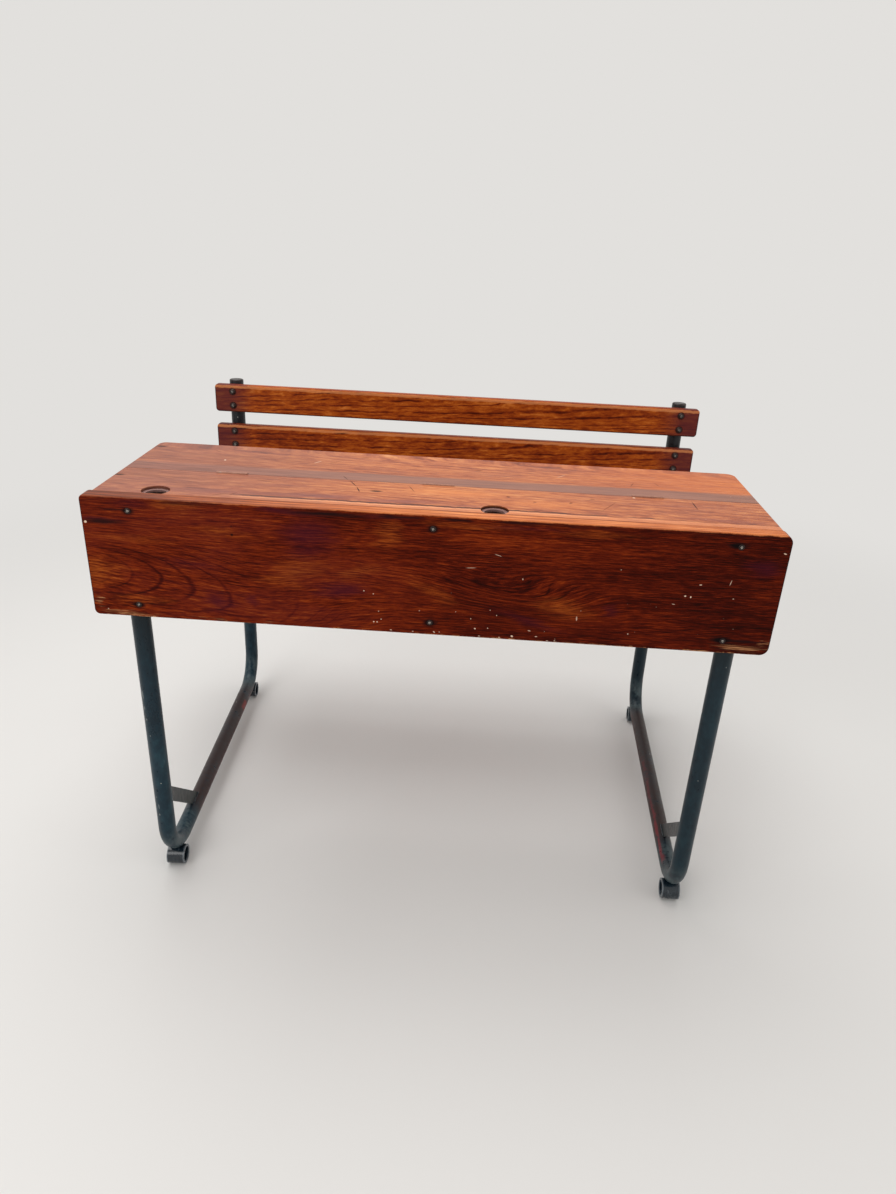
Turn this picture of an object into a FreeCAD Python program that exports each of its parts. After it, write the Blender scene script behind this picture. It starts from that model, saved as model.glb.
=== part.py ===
"""Two-seat school desk with a lift lid, on a bent tube frame that also carries the bench.

Frame of reference: X is the desk's width, +Y points from the front board to the backrest, and +Z is up.
The origin is the middle of the overall box at floor level. All lengths are millimetres.
"""
import FreeCAD, Part
import os

import Sketcher
from FreeCAD import Placement, Rotation, Vector

document = FreeCAD.newDocument("SchoolDesk")

# Driving dimensions: name -> (value, meaning). Lengths in millimetres, angles in degrees.
SIZES = {
    # Front board
    "board_width": (1016, "length of the front board"),
    "board_height": (190.5, "height of the front board"),
    "board_thickness": (25, "thickness of the front board"),
    "board_bottom": (566.5, "floor to the front board's lower edge"),
    "board_lip": (5, "front board's upper edge above the desk top"),
    "board_round_left": (8, "corner radius at the board's left end"),
    "board_round_right": (13, "corner radius at the board's right end"),
    "board_arris": (2.5, "rounding of the front board's long arrises"),
    # Desk top
    "top_inset": (4, "front board's end past the desk top's planks"),
    "top_thickness": (25, "thickness of the desk top's planks"),
    "rail_depth": (132, "depth of the fixed inkwell rail"),
    "lid_depth": (161, "depth of the lid"),
    "lid_gap": (1, "gap between the inkwell rail and the lid"),
    "lid_round_left": (12, "plan radius of the lid's left corner"),
    "lid_round_right": (16, "plan radius of the lid's right corner"),
    "top_arris": (1, "rounding of the desk top's upper arrises"),
    # Book box
    "wood_thickness": (20, "thickness of the end panels, rear rail, box bottom and seat slats"),
    "box_floor": (577, "floor to the underside of the box bottom"),
    "lid_overhang": (19, "lid past the rear rail"),
    "partition_thickness": (18, "thickness of the centre partition"),
    # Inkwells
    "inkwell_inset": (93, "left inkwell to the front board's left end"),
    "inkwell_right": (89.5, "right inkwell to the middle of the desk"),
    "inkwell_setback": (28, "inkwell centre behind the front board"),
    "inkwell_mouth": (42, "diameter of the inkwell recess"),
    "inkwell_recess": (6.5, "depth of the inkwell recess"),
    "cup_diameter": (35, "outside diameter of an inkwell cup"),
    "cup_wall": (2.5, "wall of an inkwell cup and thickness of its flange"),
    "cup_height": (38, "height of an inkwell cup"),
    "cup_clearance": (0.3, "cup to its hole, all round"),
    # Side frames
    "tube_diameter": (30, "outside diameter of the frame tube"),
    "tube_wall": (2, "wall of the frame tube"),
    "bend_radius": (75, "radius of the frame tube's axis in its bends"),
    "leg_inset": (45.4, "front board's end to the axis of the front leg"),
    "leg_setback": (31.7, "front board's back to the axis of the front leg"),
    "frame_length": (665.2, "front leg to rear leg at floor level, along the frame"),
    "base_height": (40, "floor to the axis of the base tube"),
    "post_lean": (1.5, "backward lean of the rear leg"),
    "post_length": (783, "length of the rear leg from floor level to its open end"),
    "arm_length": (238, "front leg's axis to the end of the arm under the top"),
    "arm_clearance": (0.5, "arm under the desk top"),
    "cap_height": (4, "height of a tube cap's dome"),
    "cap_stem": (14, "length of a tube cap's stem"),
    "cap_clearance": (0.1, "cap stem inside the tube"),
    # Feet, braces, struts
    "foot_diameter": (36, "outside diameter of a foot"),
    "foot_length": (32, "length of a foot"),
    "foot_wall": (4, "wall of a foot"),
    "foot_offset": (40, "foot's axis from the centre of its bend, along the floor"),
    "weld_gap": (0.05, "welded piece to the tube that it is cut to fit"),
    "bar_width": (25, "width of the brace and strut bars"),
    "bar_thickness": (5, "thickness of the brace and strut bars"),
    "brace_rise": (138, "height of the front brace above the base tube"),
    "brace_reach": (157, "length of the front brace along the base tube"),
    # Backrest
    "slat_length": (1056, "length of the backrest and seat slats"),
    "slat_overhang": (39.6, "upper backrest slat's end past the middle of the rear leg"),
    "slat_width": (59, "width of a backrest slat"),
    "slat_thickness": (19, "thickness of a backrest slat"),
    "slat_gap": (27.5, "gap between the backrest slats"),
    "slat_clearance": (0.1, "backrest slats in front of the rear legs"),
    "slat_drop": (3.5, "upper backrest slat's upper edge below the rear leg's open end"),
    "slat_round": (4, "rounding of the slats' arrises"),
    "slat_corner": (7, "corner radius of the slats' ends"),
    # Bench
    "arm_tube_diameter": (25, "outside diameter of a seat arm"),
    "seat_arm_height": (405, "floor to the axis of a seat arm"),
    "seat_arm_front": (378, "front leg to the front end of a seat arm, along the frame"),
    "seat_depth": (260, "depth of the seat over its three slats"),
    "seat_front": (430, "front board's face to the seat's front edge"),
    "seat_gap": (10, "gap between seat slats"),
    "seat_clearance": (0.3, "seat slats above the seat arms"),
    "strut_drop": (132, "height of the seat strut below the seat arm"),
    "strut_reach": (230, "length of the seat strut along the seat arm"),
    # Hinges
    "hinge_spacing": (330, "middle hinge to an outer hinge"),
    "hinge_length": (50, "length of a hinge"),
    "leaf_thickness": (1.2, "thickness of a hinge leaf"),
    "leaf_height": (18, "hinge axis to the lower edge of a leaf"),
    "knuckle_diameter": (5, "outside diameter of the hinge knuckles"),
    "lid_knuckle_length": (16.6, "length of the lid leaf's knuckle"),
    "knuckle_gap": (0.3, "end gap between knuckles"),
    "pin_diameter": (2.4, "diameter of the hinge pin"),
    "pin_clearance": (0.05, "hinge pin in the lid leaf's knuckle, all round"),
    "knuckle_relief": (0.4, "wood cut back round the knuckles"),
    # Fixings
    "board_screw_shift": (1.6, "outer front board screws past the middle of the end panels' edges"),
    "middle_screw_shift": (3, "middle front board screws to the middle of the desk"),
    "board_screw_drop": (21, "upper front board screws below the board's upper edge"),
    "screw_head": (9, "diameter of a wood screw's head"),
    "screw_head_height": (2.5, "height of a wood screw's head"),
    "screw_sink": (3, "depth of the counterbore over a screw's seat"),
    "screw_shank": (4.5, "diameter of a wood screw"),
    "rail_screw_spacing": (300, "outer rear rail screws to the middle of the desk"),
    "rail_screw_rise": (35, "box bottom to the lower screw in the rear rail's end, and on to the upper"),
    "bottom_screw_front": (60, "front leg to the first screw in the box bottom's end, along the frame"),
    "bottom_screw_rear": (180, "front leg to the second screw in the box bottom's end, along the frame"),
    "batten_screw_length": (30, "length of a lid batten screw under its head"),
    "screw_length": (45, "length of a wood screw under its head"),
    "small_screw_head": (5, "diameter of a hinge screw's head"),
    "small_screw_shank": (2.8, "diameter of a hinge screw"),
    "small_screw_length": (14, "length of a hinge screw under its head"),
    "hinge_screw_spacing": (17, "hinge screws to the middle of the hinge"),
    "hinge_screw_drop": (11, "hinge screws below the hinge axis"),
    "pilot_clearance": (0.05, "screw in its hole, all round"),
    "pilot_spare": (1, "pilot hole past the tip of its screw"),
    "bolt_diameter": (6, "diameter of the bolts"),
    "bolt_clearance": (0.8, "bolt in its hole, all round"),
    "bolt_head": (13, "diameter of a bolt's domed head"),
    "bolt_head_height": (4.5, "height of a bolt's domed head"),
    "bolt_sink": (5, "depth of the counterbores over the seat bolts"),
    "bolt_pitch": (30, "distance between the two bolts of a backrest slat's end"),
    "bolt_tail": (2, "bolt past its nut"),
    "nut_width": (10, "nut across flats"),
    "nut_height": (5, "height of a nut"),
    "leg_bolt_height": (612, "floor to the bolt through the front leg"),
    "arm_bolt_front": (100, "front leg to the front bolt of the arm, along the frame"),
    "arm_bolt_rear": (195, "front leg to the rear bolt of the arm, along the frame"),
    # Lid battens
    "batten_width": (30, "width of a lid batten"),
    "batten_length": (95, "length of a lid batten"),
    "batten_height": (18, "height of a lid batten"),
    "batten_inset": (30, "lid batten to the end panel"),
    "batten_setback": (20, "lid batten behind the lid's hinged edge"),
}

# Sizes that follow from the driving dimensions: name -> expression.
LAYOUT = {
    "top_level": "Sizes.board_bottom + Sizes.board_height - Sizes.board_lip",
    "top_underside": "Layout.top_level - Sizes.top_thickness",
    "board_top": "Sizes.board_bottom + Sizes.board_height",
    "half_top": "Sizes.board_width / 2 - Sizes.top_inset",
    # Spread of the side frames: legs stand in from the board's ends, rear legs in from the slats' ends
    "leg_x": "Sizes.board_width / 2 - Sizes.leg_inset",
    "slat_top": "Sizes.post_length - Sizes.slat_drop",
    "post_x": "Sizes.slat_length / 2 - Sizes.slat_overhang",
    "slat_top_reach": "Sizes.frame_length + Layout.slat_top * tan(Sizes.post_lean)",
    "frame_splay": "asin((Layout.post_x - Layout.leg_x) / Layout.slat_top_reach) / 1 deg",
    # Depths along Y: the whole desk, from the board's face to the last bolt, is centred on the origin
    "tube_radius": "Sizes.tube_diameter / 2",
    "last_bolt": "Layout.slat_top - Sizes.slat_width / 2"
                 " + Sizes.bolt_pitch / 2 + Sizes.bolt_diameter / 2",
    "post_foot_depth": "Sizes.board_thickness + Sizes.leg_setback"
                       " + Sizes.frame_length * cos(Layout.frame_splay)",
    "bolt_end": "Layout.tube_radius + Sizes.nut_height + Sizes.bolt_tail",
    "overall_depth": "Layout.post_foot_depth + Layout.last_bolt * sin(Sizes.post_lean)"
                     " + Layout.bolt_end * cos(Sizes.post_lean)",
    "front": "-Layout.overall_depth / 2",
    "board_back": "Layout.front + Sizes.board_thickness",
    "leg_y": "Layout.board_back + Sizes.leg_setback",
    "rail_back": "Layout.board_back + Sizes.rail_depth",
    "hinge_y": "Layout.rail_back + Sizes.lid_gap / 2",
    "lid_front": "Layout.rail_back + Sizes.lid_gap",
    "lid_back": "Layout.lid_front + Sizes.lid_depth",
    "box_back": "Layout.lid_back - Sizes.lid_overhang",
    "box_inner_back": "Layout.box_back - Sizes.wood_thickness",
    "box_floor_top": "Sizes.box_floor + Sizes.wood_thickness",
    "box_height": "Layout.top_underside - Sizes.box_floor",
    "inkwell_y": "Layout.board_back + Sizes.inkwell_setback",
    "inkwell_seat": "Layout.top_level - Sizes.inkwell_recess",
    # Side frames
    "arm_level": "Layout.top_underside - Sizes.arm_clearance - Layout.tube_radius",
    "bend_level": "Sizes.base_height + Sizes.bend_radius",
    "post_base": "Sizes.frame_length + Sizes.base_height * tan(Sizes.post_lean)",
    "rear_bend": "Layout.post_base - Sizes.bend_radius * tan(45 - Sizes.post_lean / 2)",
    "post_end_u": "Sizes.frame_length + Sizes.post_length * sin(Sizes.post_lean)",
    "post_end_level": "Sizes.post_length * cos(Sizes.post_lean)",
    "panel_slope": "tan(Layout.frame_splay)",
    "panel_outer": "Layout.leg_x - Layout.tube_radius / cos(Layout.frame_splay)",
    "panel_inner": "Layout.panel_outer - Sizes.wood_thickness / cos(Layout.frame_splay)",
    "inner_front": "Layout.panel_inner + (Layout.board_back - Layout.leg_y) * Layout.panel_slope",
    "inner_back": "Layout.panel_inner + (Layout.box_back - Layout.leg_y) * Layout.panel_slope",
    "inner_rail": "Layout.panel_inner + (Layout.box_inner_back - Layout.leg_y) * Layout.panel_slope",
    "outer_front": "Layout.panel_outer + (Layout.board_back - Layout.leg_y) * Layout.panel_slope",
    "outer_back": "Layout.panel_outer + (Layout.box_back - Layout.leg_y) * Layout.panel_slope",
    # Backrest, in the leaning frame whose origin is the rear leg's axis at floor level
    "post_y": "Layout.leg_y + Sizes.frame_length * cos(Layout.frame_splay)",
    "slat_middle_upper": "Layout.slat_top - Sizes.slat_width / 2",
    "slat_middle_lower": "Layout.slat_middle_upper - Sizes.slat_width - Sizes.slat_gap",
    "slat_back": "-Layout.tube_radius - Sizes.slat_clearance",
    "slat_face": "Layout.slat_back - Sizes.slat_thickness",
    # Bench
    "arm_tube_radius": "Sizes.arm_tube_diameter / 2",
    "seat_underside": "Sizes.seat_arm_height + Layout.arm_tube_radius + Sizes.seat_clearance",
    "seat_top": "Layout.seat_underside + Sizes.wood_thickness",
    "seat_slat_width": "(Sizes.seat_depth - 2 * Sizes.seat_gap) / 3",
    "seat_start": "Layout.front + Sizes.seat_front",
    "seat_post": "Sizes.frame_length + Sizes.seat_arm_height * tan(Sizes.post_lean)",
    # Fixings
    "bolt_radius": "Sizes.bolt_diameter / 2",
    "bolt_hole": "Layout.bolt_radius + Sizes.bolt_clearance",
    "pilot_radius": "Sizes.screw_shank / 2 + Sizes.pilot_clearance",
    "screw_seat_radius": "Sizes.screw_head / 2 + Sizes.pilot_clearance",
    "small_pilot_radius": "Sizes.small_screw_shank / 2 + Sizes.pilot_clearance",
    "small_seat_radius": "Sizes.small_screw_head / 2 + Sizes.pilot_clearance",
    "upper_screw_level": "Layout.board_top - Sizes.board_screw_drop",
    "lower_screw_level": "Sizes.box_floor + Sizes.wood_thickness / 2",
    "board_screw_x": "(Layout.inner_front + Layout.outer_front) / 2 + Sizes.board_screw_shift",
    "pilot_depth": "Sizes.screw_length + Sizes.screw_sink - Sizes.board_thickness + Sizes.pilot_spare",
    "rail_screw_y": "Layout.box_back - Sizes.wood_thickness / 2",
    "rail_screw_u": "(Layout.rail_screw_y - Layout.leg_y) / cos(Layout.frame_splay)",
    # Lid battens
    "batten_x": "Layout.panel_inner - Sizes.batten_inset - Sizes.batten_width / 2",
    "batten_y": "Layout.lid_front + Sizes.batten_setback",
}

# Head diameter, head height and shank diameter of the two kinds of fixing that hold wood and frame
WOOD_SCREW = ("Sizes.screw_head", "Sizes.screw_head_height", "Sizes.screw_shank")
BOLT = ("Sizes.bolt_head", "Sizes.bolt_head_height", "Sizes.bolt_diameter")

SIDES = {"left": -1, "right": 1}
ACROSS = Vector(1, 0, 0)
DEPTH = Vector(0, 1, 0)
UP = Vector(0, 0, 1)

sheet = document.addObject("Spreadsheet::Sheet", "Sizes")
for row, (alias, (amount, meaning)) in enumerate(SIZES.items(), start=1):
    sheet.set(f"A{row}", meaning)
    sheet.set(f"B{row}", str(amount))
    sheet.setAlias(f"B{row}", alias)
document.recompute()

layout = document.addObject("App::VarSet", "Layout")
for name, expression in LAYOUT.items():
    layout.addProperty("App::PropertyFloat", name, "Layout", expression)
    layout.setExpression(name, expression)
    document.recompute()

parts = []


def number(expression):
    """The present value of an expression over the sizes."""
    result = layout.evalExpression(expression)
    return float(getattr(result, "Value", result))


def check_state(feature):
    if "Invalid" in feature.State or "Error" in feature.State:
        raise RuntimeError(f"{feature.Label}: {feature.State}")


# ---------------------------------------------------------------- sketches and features


def new_body(label):
    body = document.addObject("PartDesign::Body", label)
    body.Label = label
    parts.append(body)
    return body


def place(body, x="0", y="0", z="0", axis=UP, angle="0"):
    """Place a body by expressions, turned about one fixed axis."""
    body.Placement = Placement(Vector(), Rotation(axis, 1))
    body.setExpression("Placement.Base.x", x)
    body.setExpression("Placement.Base.y", y)
    body.setExpression("Placement.Base.z", z)
    body.setExpression("Placement.Rotation.Angle", angle)


def place_on_frame(body, side):
    """Put a body on a side frame: local Y runs back along it from the front leg, local Z is up."""
    place(body, f"{side} * Layout.leg_x", "Layout.leg_y", "0", UP, f"{-side} * Layout.frame_splay")


def place_on_posts(body):
    """Put a body in the backrest's leaning frame: local Z runs up the rear legs from floor level."""
    place(body, "0", "Layout.post_y", "0", ACROSS, "-Sizes.post_lean")


def new_sketch(body, plane, x="0", y="0", z="0", axis=UP, angle="0"):
    """A sketch on one of the body's own origin planes, shifted and turned in the plane's own axes."""
    support = [item for item in body.Origin.OriginFeatures if item.Role == plane][0]
    sketch = body.newObject("Sketcher::SketchObject", f"{body.Name}Sketch")
    sketch.AttachmentSupport = [(support, "")]
    sketch.MapMode = "FlatFace"
    sketch.AttachmentOffset = Placement(Vector(), Rotation(axis, 1))
    sketch.setExpression("AttachmentOffset.Base.x", x)
    sketch.setExpression("AttachmentOffset.Base.y", y)
    sketch.setExpression("AttachmentOffset.Base.z", z)
    sketch.setExpression("AttachmentOffset.Rotation.Angle", angle)
    return sketch


def bind(sketch, kind, geometry, point, expression):
    """Tie one coordinate or radius of a sketch to an expression."""
    if point is None:
        constraint = Sketcher.Constraint(kind, geometry, number(expression))
    else:
        constraint = Sketcher.Constraint(kind, geometry, point, number(expression))
    index = sketch.addConstraint(constraint)
    sketch.setExpression(f"Constraints[{index}]", expression)


def end_codes(edge, start):
    """Sketcher's codes of an edge's first and last point; an arc may have been turned round."""
    if (edge.StartPoint - start).Length < 1e-6:
        return 1, 2
    return 2, 1


def draw_chain(sketch, corners, centres=None, closed=True):
    """Lines through the corners. centres gives, for an edge that is an arc, its centre and radius."""
    centres = centres or {}
    first = sketch.GeometryCount
    points = [Vector(number(x), number(y), 0) for x, y in corners]
    count = len(points) if closed else len(points) - 1
    codes = []
    for index in range(count):
        start = points[index]
        end = points[(index + 1) % len(points)]
        if index in centres:
            centre = Vector(number(centres[index][0]), number(centres[index][1]), 0)
            toward = (start + end) * 0.5 - centre
            middle = centre + toward.normalize() * (start - centre).Length
            edge = Part.Arc(start, middle, end)
        else:
            edge = Part.LineSegment(start, end)
        sketch.addGeometry(edge, False)
        codes.append(end_codes(sketch.Geometry[first + index], start))
    for index in range(count):
        following = (index + 1) % count
        if following or closed:
            joint = (first + index, codes[index][1], first + following, codes[following][0])
            sketch.addConstraint(Sketcher.Constraint("Coincident", *joint))
    for index, (x, y) in enumerate(corners):
        edge = min(index, count - 1)
        code = codes[edge][0] if index < count else codes[edge][1]
        bind(sketch, "DistanceX", first + edge, code, x)
        bind(sketch, "DistanceY", first + edge, code, y)
    for index, centre in centres.items():
        bind(sketch, "Radius", first + index, None, centre[2])


def draw_rectangle(sketch, left, right, bottom, top):
    draw_chain(sketch, [(left, bottom), (right, bottom), (right, top), (left, top)])


def draw_circle(sketch, x, y, radius):
    circle = Part.Circle(Vector(number(x), number(y), 0), UP, number(radius))
    index = sketch.addGeometry(circle, False)
    bind(sketch, "DistanceX", index, 3, x)
    bind(sketch, "DistanceY", index, 3, y)
    bind(sketch, "Radius", index, None, radius)


def draw_hexagon(sketch, x, y, across_flats):
    corner = f"{across_flats} / 2 / cos(30)"
    corners = []
    for step in range(6):
        angle = 60 * step
        corners.append((f"{x} + {corner} * cos({angle})", f"{y} + {corner} * sin({angle})"))
    draw_chain(sketch, corners)


def pad(body, sketch, length, both_ways=False, backward=False):
    feature = body.newObject("PartDesign::Pad", f"{body.Name}Pad")
    feature.Profile = sketch
    feature.Midplane = both_ways
    feature.Reversed = backward
    feature.setExpression("Length", length)
    sketch.Visibility = False
    document.recompute()
    check_state(feature)
    return feature


def cut(body, sketch, length, both_ways=False, backward=False, must_cut=True):
    """Pocket a sketch, and make sure that it took something away."""
    before = body.Tip.Shape.Volume
    feature = body.newObject("PartDesign::Pocket", f"{body.Name}Pocket")
    feature.Profile = sketch
    feature.Midplane = both_ways
    feature.Reversed = backward
    feature.setExpression("Length", length)
    sketch.Visibility = False
    document.recompute()
    check_state(feature)
    if must_cut and feature.Shape.Volume > before - 1e-6:
        raise RuntimeError(f"{feature.Label} cuts nothing")
    return feature


def turn(body, sketch, axis, cutting=False):
    kind = "PartDesign::Groove" if cutting else "PartDesign::Revolution"
    before = body.Tip.Shape.Volume if cutting else 0
    feature = body.newObject(kind, f"{body.Name}Turned")
    feature.Profile = sketch
    feature.ReferenceAxis = (sketch, [axis])
    feature.Angle = 360
    sketch.Visibility = False
    document.recompute()
    check_state(feature)
    if cutting and feature.Shape.Volume > before - 1e-6:
        raise RuntimeError(f"{feature.Label} cuts nothing")
    return feature


def round_edges(body, radius, chosen):
    """Fillet the edges of the body for which chosen(edge) holds."""
    base = body.Tip
    names = [f"Edge{index}" for index, edge in enumerate(base.Shape.Edges, start=1) if chosen(edge)]
    if not names:
        raise RuntimeError(f"{body.Label}: no edge to round")
    feature = body.newObject("PartDesign::Fillet", f"{body.Name}Fillet")
    feature.Base = (base, names)
    feature.setExpression("Radius", radius)
    document.recompute()
    check_state(feature)
    return feature


def round_far_edges(body, direction, radius):
    """Fillet the edges that lie furthest along a direction, such as the rims of heads."""
    furthest = max(vertex.Point.dot(direction) for vertex in body.Tip.Shape.Vertexes)

    def is_furthest(edge):
        return all(vertex.Point.dot(direction) > furthest - 1e-4 for vertex in edge.Vertexes)

    round_edges(body, radius, is_furthest)


def runs_along(edge, axis):
    """True for a straight edge parallel to the axis."""
    if edge.Curve.TypeId != "Part::GeomLine":
        return False
    return abs(abs(edge.Curve.Direction.dot(axis)) - 1) < 1e-6


def lies_at(edge, axis, expression):
    """True for an edge whose every point has this coordinate along the axis."""
    level = number(expression)
    ends = [edge.BoundBox.getPoint(corner).dot(axis) for corner in range(8)]
    return max(abs(end - level) for end in ends) < 1e-4


# ---------------------------------------------------------------- front board and desk top


def board_screw_places():
    """Front board screws as X and level: three in the upper row and three in the lower."""
    places = []
    for level in ("Layout.upper_screw_level", "Layout.lower_screw_level"):
        for x in ("-Layout.board_screw_x", "Sizes.middle_screw_shift", "Layout.board_screw_x"):
            places.append((x, level))
    return places


def front_board():
    body = new_body("front_board")
    half = "Sizes.board_width / 2"
    face = new_sketch(body, "XZ_Plane", z="-Layout.front")
    draw_rectangle(face, f"-{half}", half, "Sizes.board_bottom", "Layout.board_top")
    pad(body, face, "Sizes.board_thickness", backward=True)
    for end, size in ((-1, "Sizes.board_round_left"), (1, "Sizes.board_round_right")):
        at_end = f"{end} * {half}"
        round_edges(body, size, lambda edge: runs_along(edge, DEPTH) and lies_at(edge, ACROSS, at_end))
    outline = ("Layout.front", "Layout.board_back")
    round_edges(body, "Sizes.board_arris", lambda edge: any(lies_at(edge, DEPTH, at) for at in outline))
    holes = new_sketch(body, "XZ_Plane", z="-Layout.front")
    seats = new_sketch(body, "XZ_Plane", z="-Layout.front")
    for x, level in board_screw_places():
        draw_circle(holes, x, level, "Layout.pilot_radius")
        draw_circle(seats, x, level, "Layout.screw_seat_radius")
    cut(body, holes, "Sizes.board_thickness")
    cut(body, seats, "Sizes.screw_sink")


def hinge_seats(body, edge, inward):
    """Recesses, knuckle reliefs and screw holes for the three hinges in one edge of the top."""
    first = "-Sizes.hinge_spacing"
    half = "Sizes.hinge_length / 2"
    recess = new_sketch(body, "XY_Plane", z="Layout.top_level")
    low, high = (edge, f"{edge} + Sizes.leaf_thickness")
    if inward < 0:
        low, high = (f"{edge} - Sizes.leaf_thickness", edge)
    draw_rectangle(recess, f"{first} - {half}", f"{first} + {half}", low, high)
    relief = new_sketch(body, "YZ_Plane", z=first)
    draw_circle(relief, "Layout.hinge_y", "Layout.top_level",
                "Sizes.knuckle_diameter / 2 + Sizes.knuckle_relief")
    holes = new_sketch(body, "XZ_Plane", z=f"-({edge})")
    for step in (-1, 1):
        x = f"{first} + {step} * Sizes.hinge_screw_spacing"
        draw_circle(holes, x, "Layout.top_level - Sizes.hinge_screw_drop", "Layout.small_pilot_radius")
    seats = [cut(body, recess, "Sizes.leaf_height")]
    seats.append(cut(body, relief, "Sizes.hinge_length + 2 * Sizes.knuckle_gap", both_ways=True))
    depth = "Sizes.leaf_thickness + Sizes.small_screw_length"
    seats.append(cut(body, holes, depth, backward=inward < 0))
    pattern = body.newObject("PartDesign::LinearPattern", f"{body.Name}Hinges")
    pattern.Originals = seats
    pattern.Direction = (recess, ["H_Axis"])
    pattern.setExpression("Length", "2 * Sizes.hinge_spacing")
    pattern.Occurrences = 3
    body.Tip = pattern
    document.recompute()
    check_state(pattern)


def inkwell_places():
    return {"left": "Sizes.inkwell_inset - Sizes.board_width / 2", "right": "Sizes.inkwell_right"}


def inkwell_rail():
    body = new_body("inkwell_rail")
    plan = new_sketch(body, "XY_Plane", z="Layout.top_underside")
    draw_rectangle(plan, "-Layout.half_top", "Layout.half_top", "Layout.board_back", "Layout.rail_back")
    pad(body, plan, "Sizes.top_thickness")
    round_edges(body, "Sizes.top_arris", lambda edge: lies_at(edge, UP, "Layout.top_level"))
    mouths = new_sketch(body, "XY_Plane", z="Layout.top_level")
    bores = new_sketch(body, "XY_Plane", z="Layout.top_level")
    for x in inkwell_places().values():
        draw_circle(mouths, x, "Layout.inkwell_y", "Sizes.inkwell_mouth / 2")
        draw_circle(bores, x, "Layout.inkwell_y", "Sizes.cup_diameter / 2 + Sizes.cup_clearance")
    cut(body, mouths, "Sizes.inkwell_recess")
    cut(body, bores, "Sizes.top_thickness")
    pilots = new_sketch(body, "XZ_Plane", z="-Layout.board_back")
    for x, level in board_screw_places()[:3]:
        draw_circle(pilots, x, level, "Layout.pilot_radius")
    cut(body, pilots, "Layout.pilot_depth")
    hinge_seats(body, "Layout.rail_back", -1)


def lid_board():
    body = new_body("lid_board")
    plan = new_sketch(body, "XY_Plane", z="Layout.top_underside")
    draw_rectangle(plan, "-Layout.half_top", "Layout.half_top", "Layout.lid_front", "Layout.lid_back")
    pad(body, plan, "Sizes.top_thickness")
    for end, size in ((-1, "Sizes.lid_round_left"), (1, "Sizes.lid_round_right")):
        at_end = f"{end} * Layout.half_top"
        round_edges(body, size, lambda edge: runs_along(edge, UP) and lies_at(edge, ACROSS, at_end)
                    and lies_at(edge, DEPTH, "Layout.lid_back"))
    round_edges(body, "Sizes.top_arris", lambda edge: lies_at(edge, UP, "Layout.top_level"))
    pilots = new_sketch(body, "XY_Plane", z="Layout.top_underside")
    for x, y in batten_screw_places():
        draw_circle(pilots, x, y, "Layout.pilot_radius")
    depth = "Sizes.batten_screw_length + Sizes.screw_sink - Sizes.batten_height"
    cut(body, pilots, depth, backward=True)
    hinge_seats(body, "Layout.lid_front", 1)


def batten_screw_places():
    places = []
    for side in SIDES.values():
        for share in ("1 / 4", "3 / 4"):
            y = f"Layout.batten_y + Sizes.batten_length * {share}"
            places.append((f"{side} * Layout.batten_x", y))
    return places


def lid_battens():
    for name, side in SIDES.items():
        body = new_body(f"{name}_lid_batten")
        plan = new_sketch(body, "XY_Plane", z="Layout.top_underside - Sizes.batten_height")
        middle = f"{side} * Layout.batten_x"
        half = "Sizes.batten_width / 2"
        draw_rectangle(plan, f"{middle} - {half}", f"{middle} + {half}",
                       "Layout.batten_y", "Layout.batten_y + Sizes.batten_length")
        pad(body, plan, "Sizes.batten_height")
        under = "Layout.top_underside - Sizes.batten_height"
        round_edges(body, "Sizes.slat_round", lambda edge: lies_at(edge, UP, under))
        holes = new_sketch(body, "XY_Plane", z="Layout.top_underside")
        seats = new_sketch(body, "XY_Plane", z=f"{under} + Sizes.screw_sink")
        for x, y in batten_screw_places():
            if x.startswith(f"{side} "):
                draw_circle(holes, x, y, "Layout.pilot_radius")
                draw_circle(seats, x, y, "Layout.screw_seat_radius")
        cut(body, holes, "Sizes.batten_height")
        cut(body, seats, "Sizes.screw_sink")


def inkwell_cups():
    for name, x in inkwell_places().items():
        body = new_body(f"{name}_inkwell_cup")
        place(body, x, "Layout.inkwell_y", "Layout.inkwell_seat")
        half = new_sketch(body, "XZ_Plane")
        outer = "Sizes.cup_diameter / 2"
        flange = "Sizes.inkwell_mouth / 2 - Sizes.cup_clearance"
        foot = "Sizes.cup_wall - Sizes.cup_height"
        inner = "Sizes.cup_diameter / 2 - Sizes.cup_wall"
        draw_chain(half, [("0", foot), (outer, foot), (outer, "0"), (flange, "0"),
                          (flange, "Sizes.cup_wall"), (inner, "Sizes.cup_wall"),
                          (inner, f"{foot} + Sizes.cup_wall"), ("0", f"{foot} + Sizes.cup_wall")])
        turn(body, half, "V_Axis")
        lip = "Sizes.cup_wall"
        round_edges(body, "Sizes.cup_wall / 3", lambda edge: lies_at(edge, UP, lip))


# ---------------------------------------------------------------- book box


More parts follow.
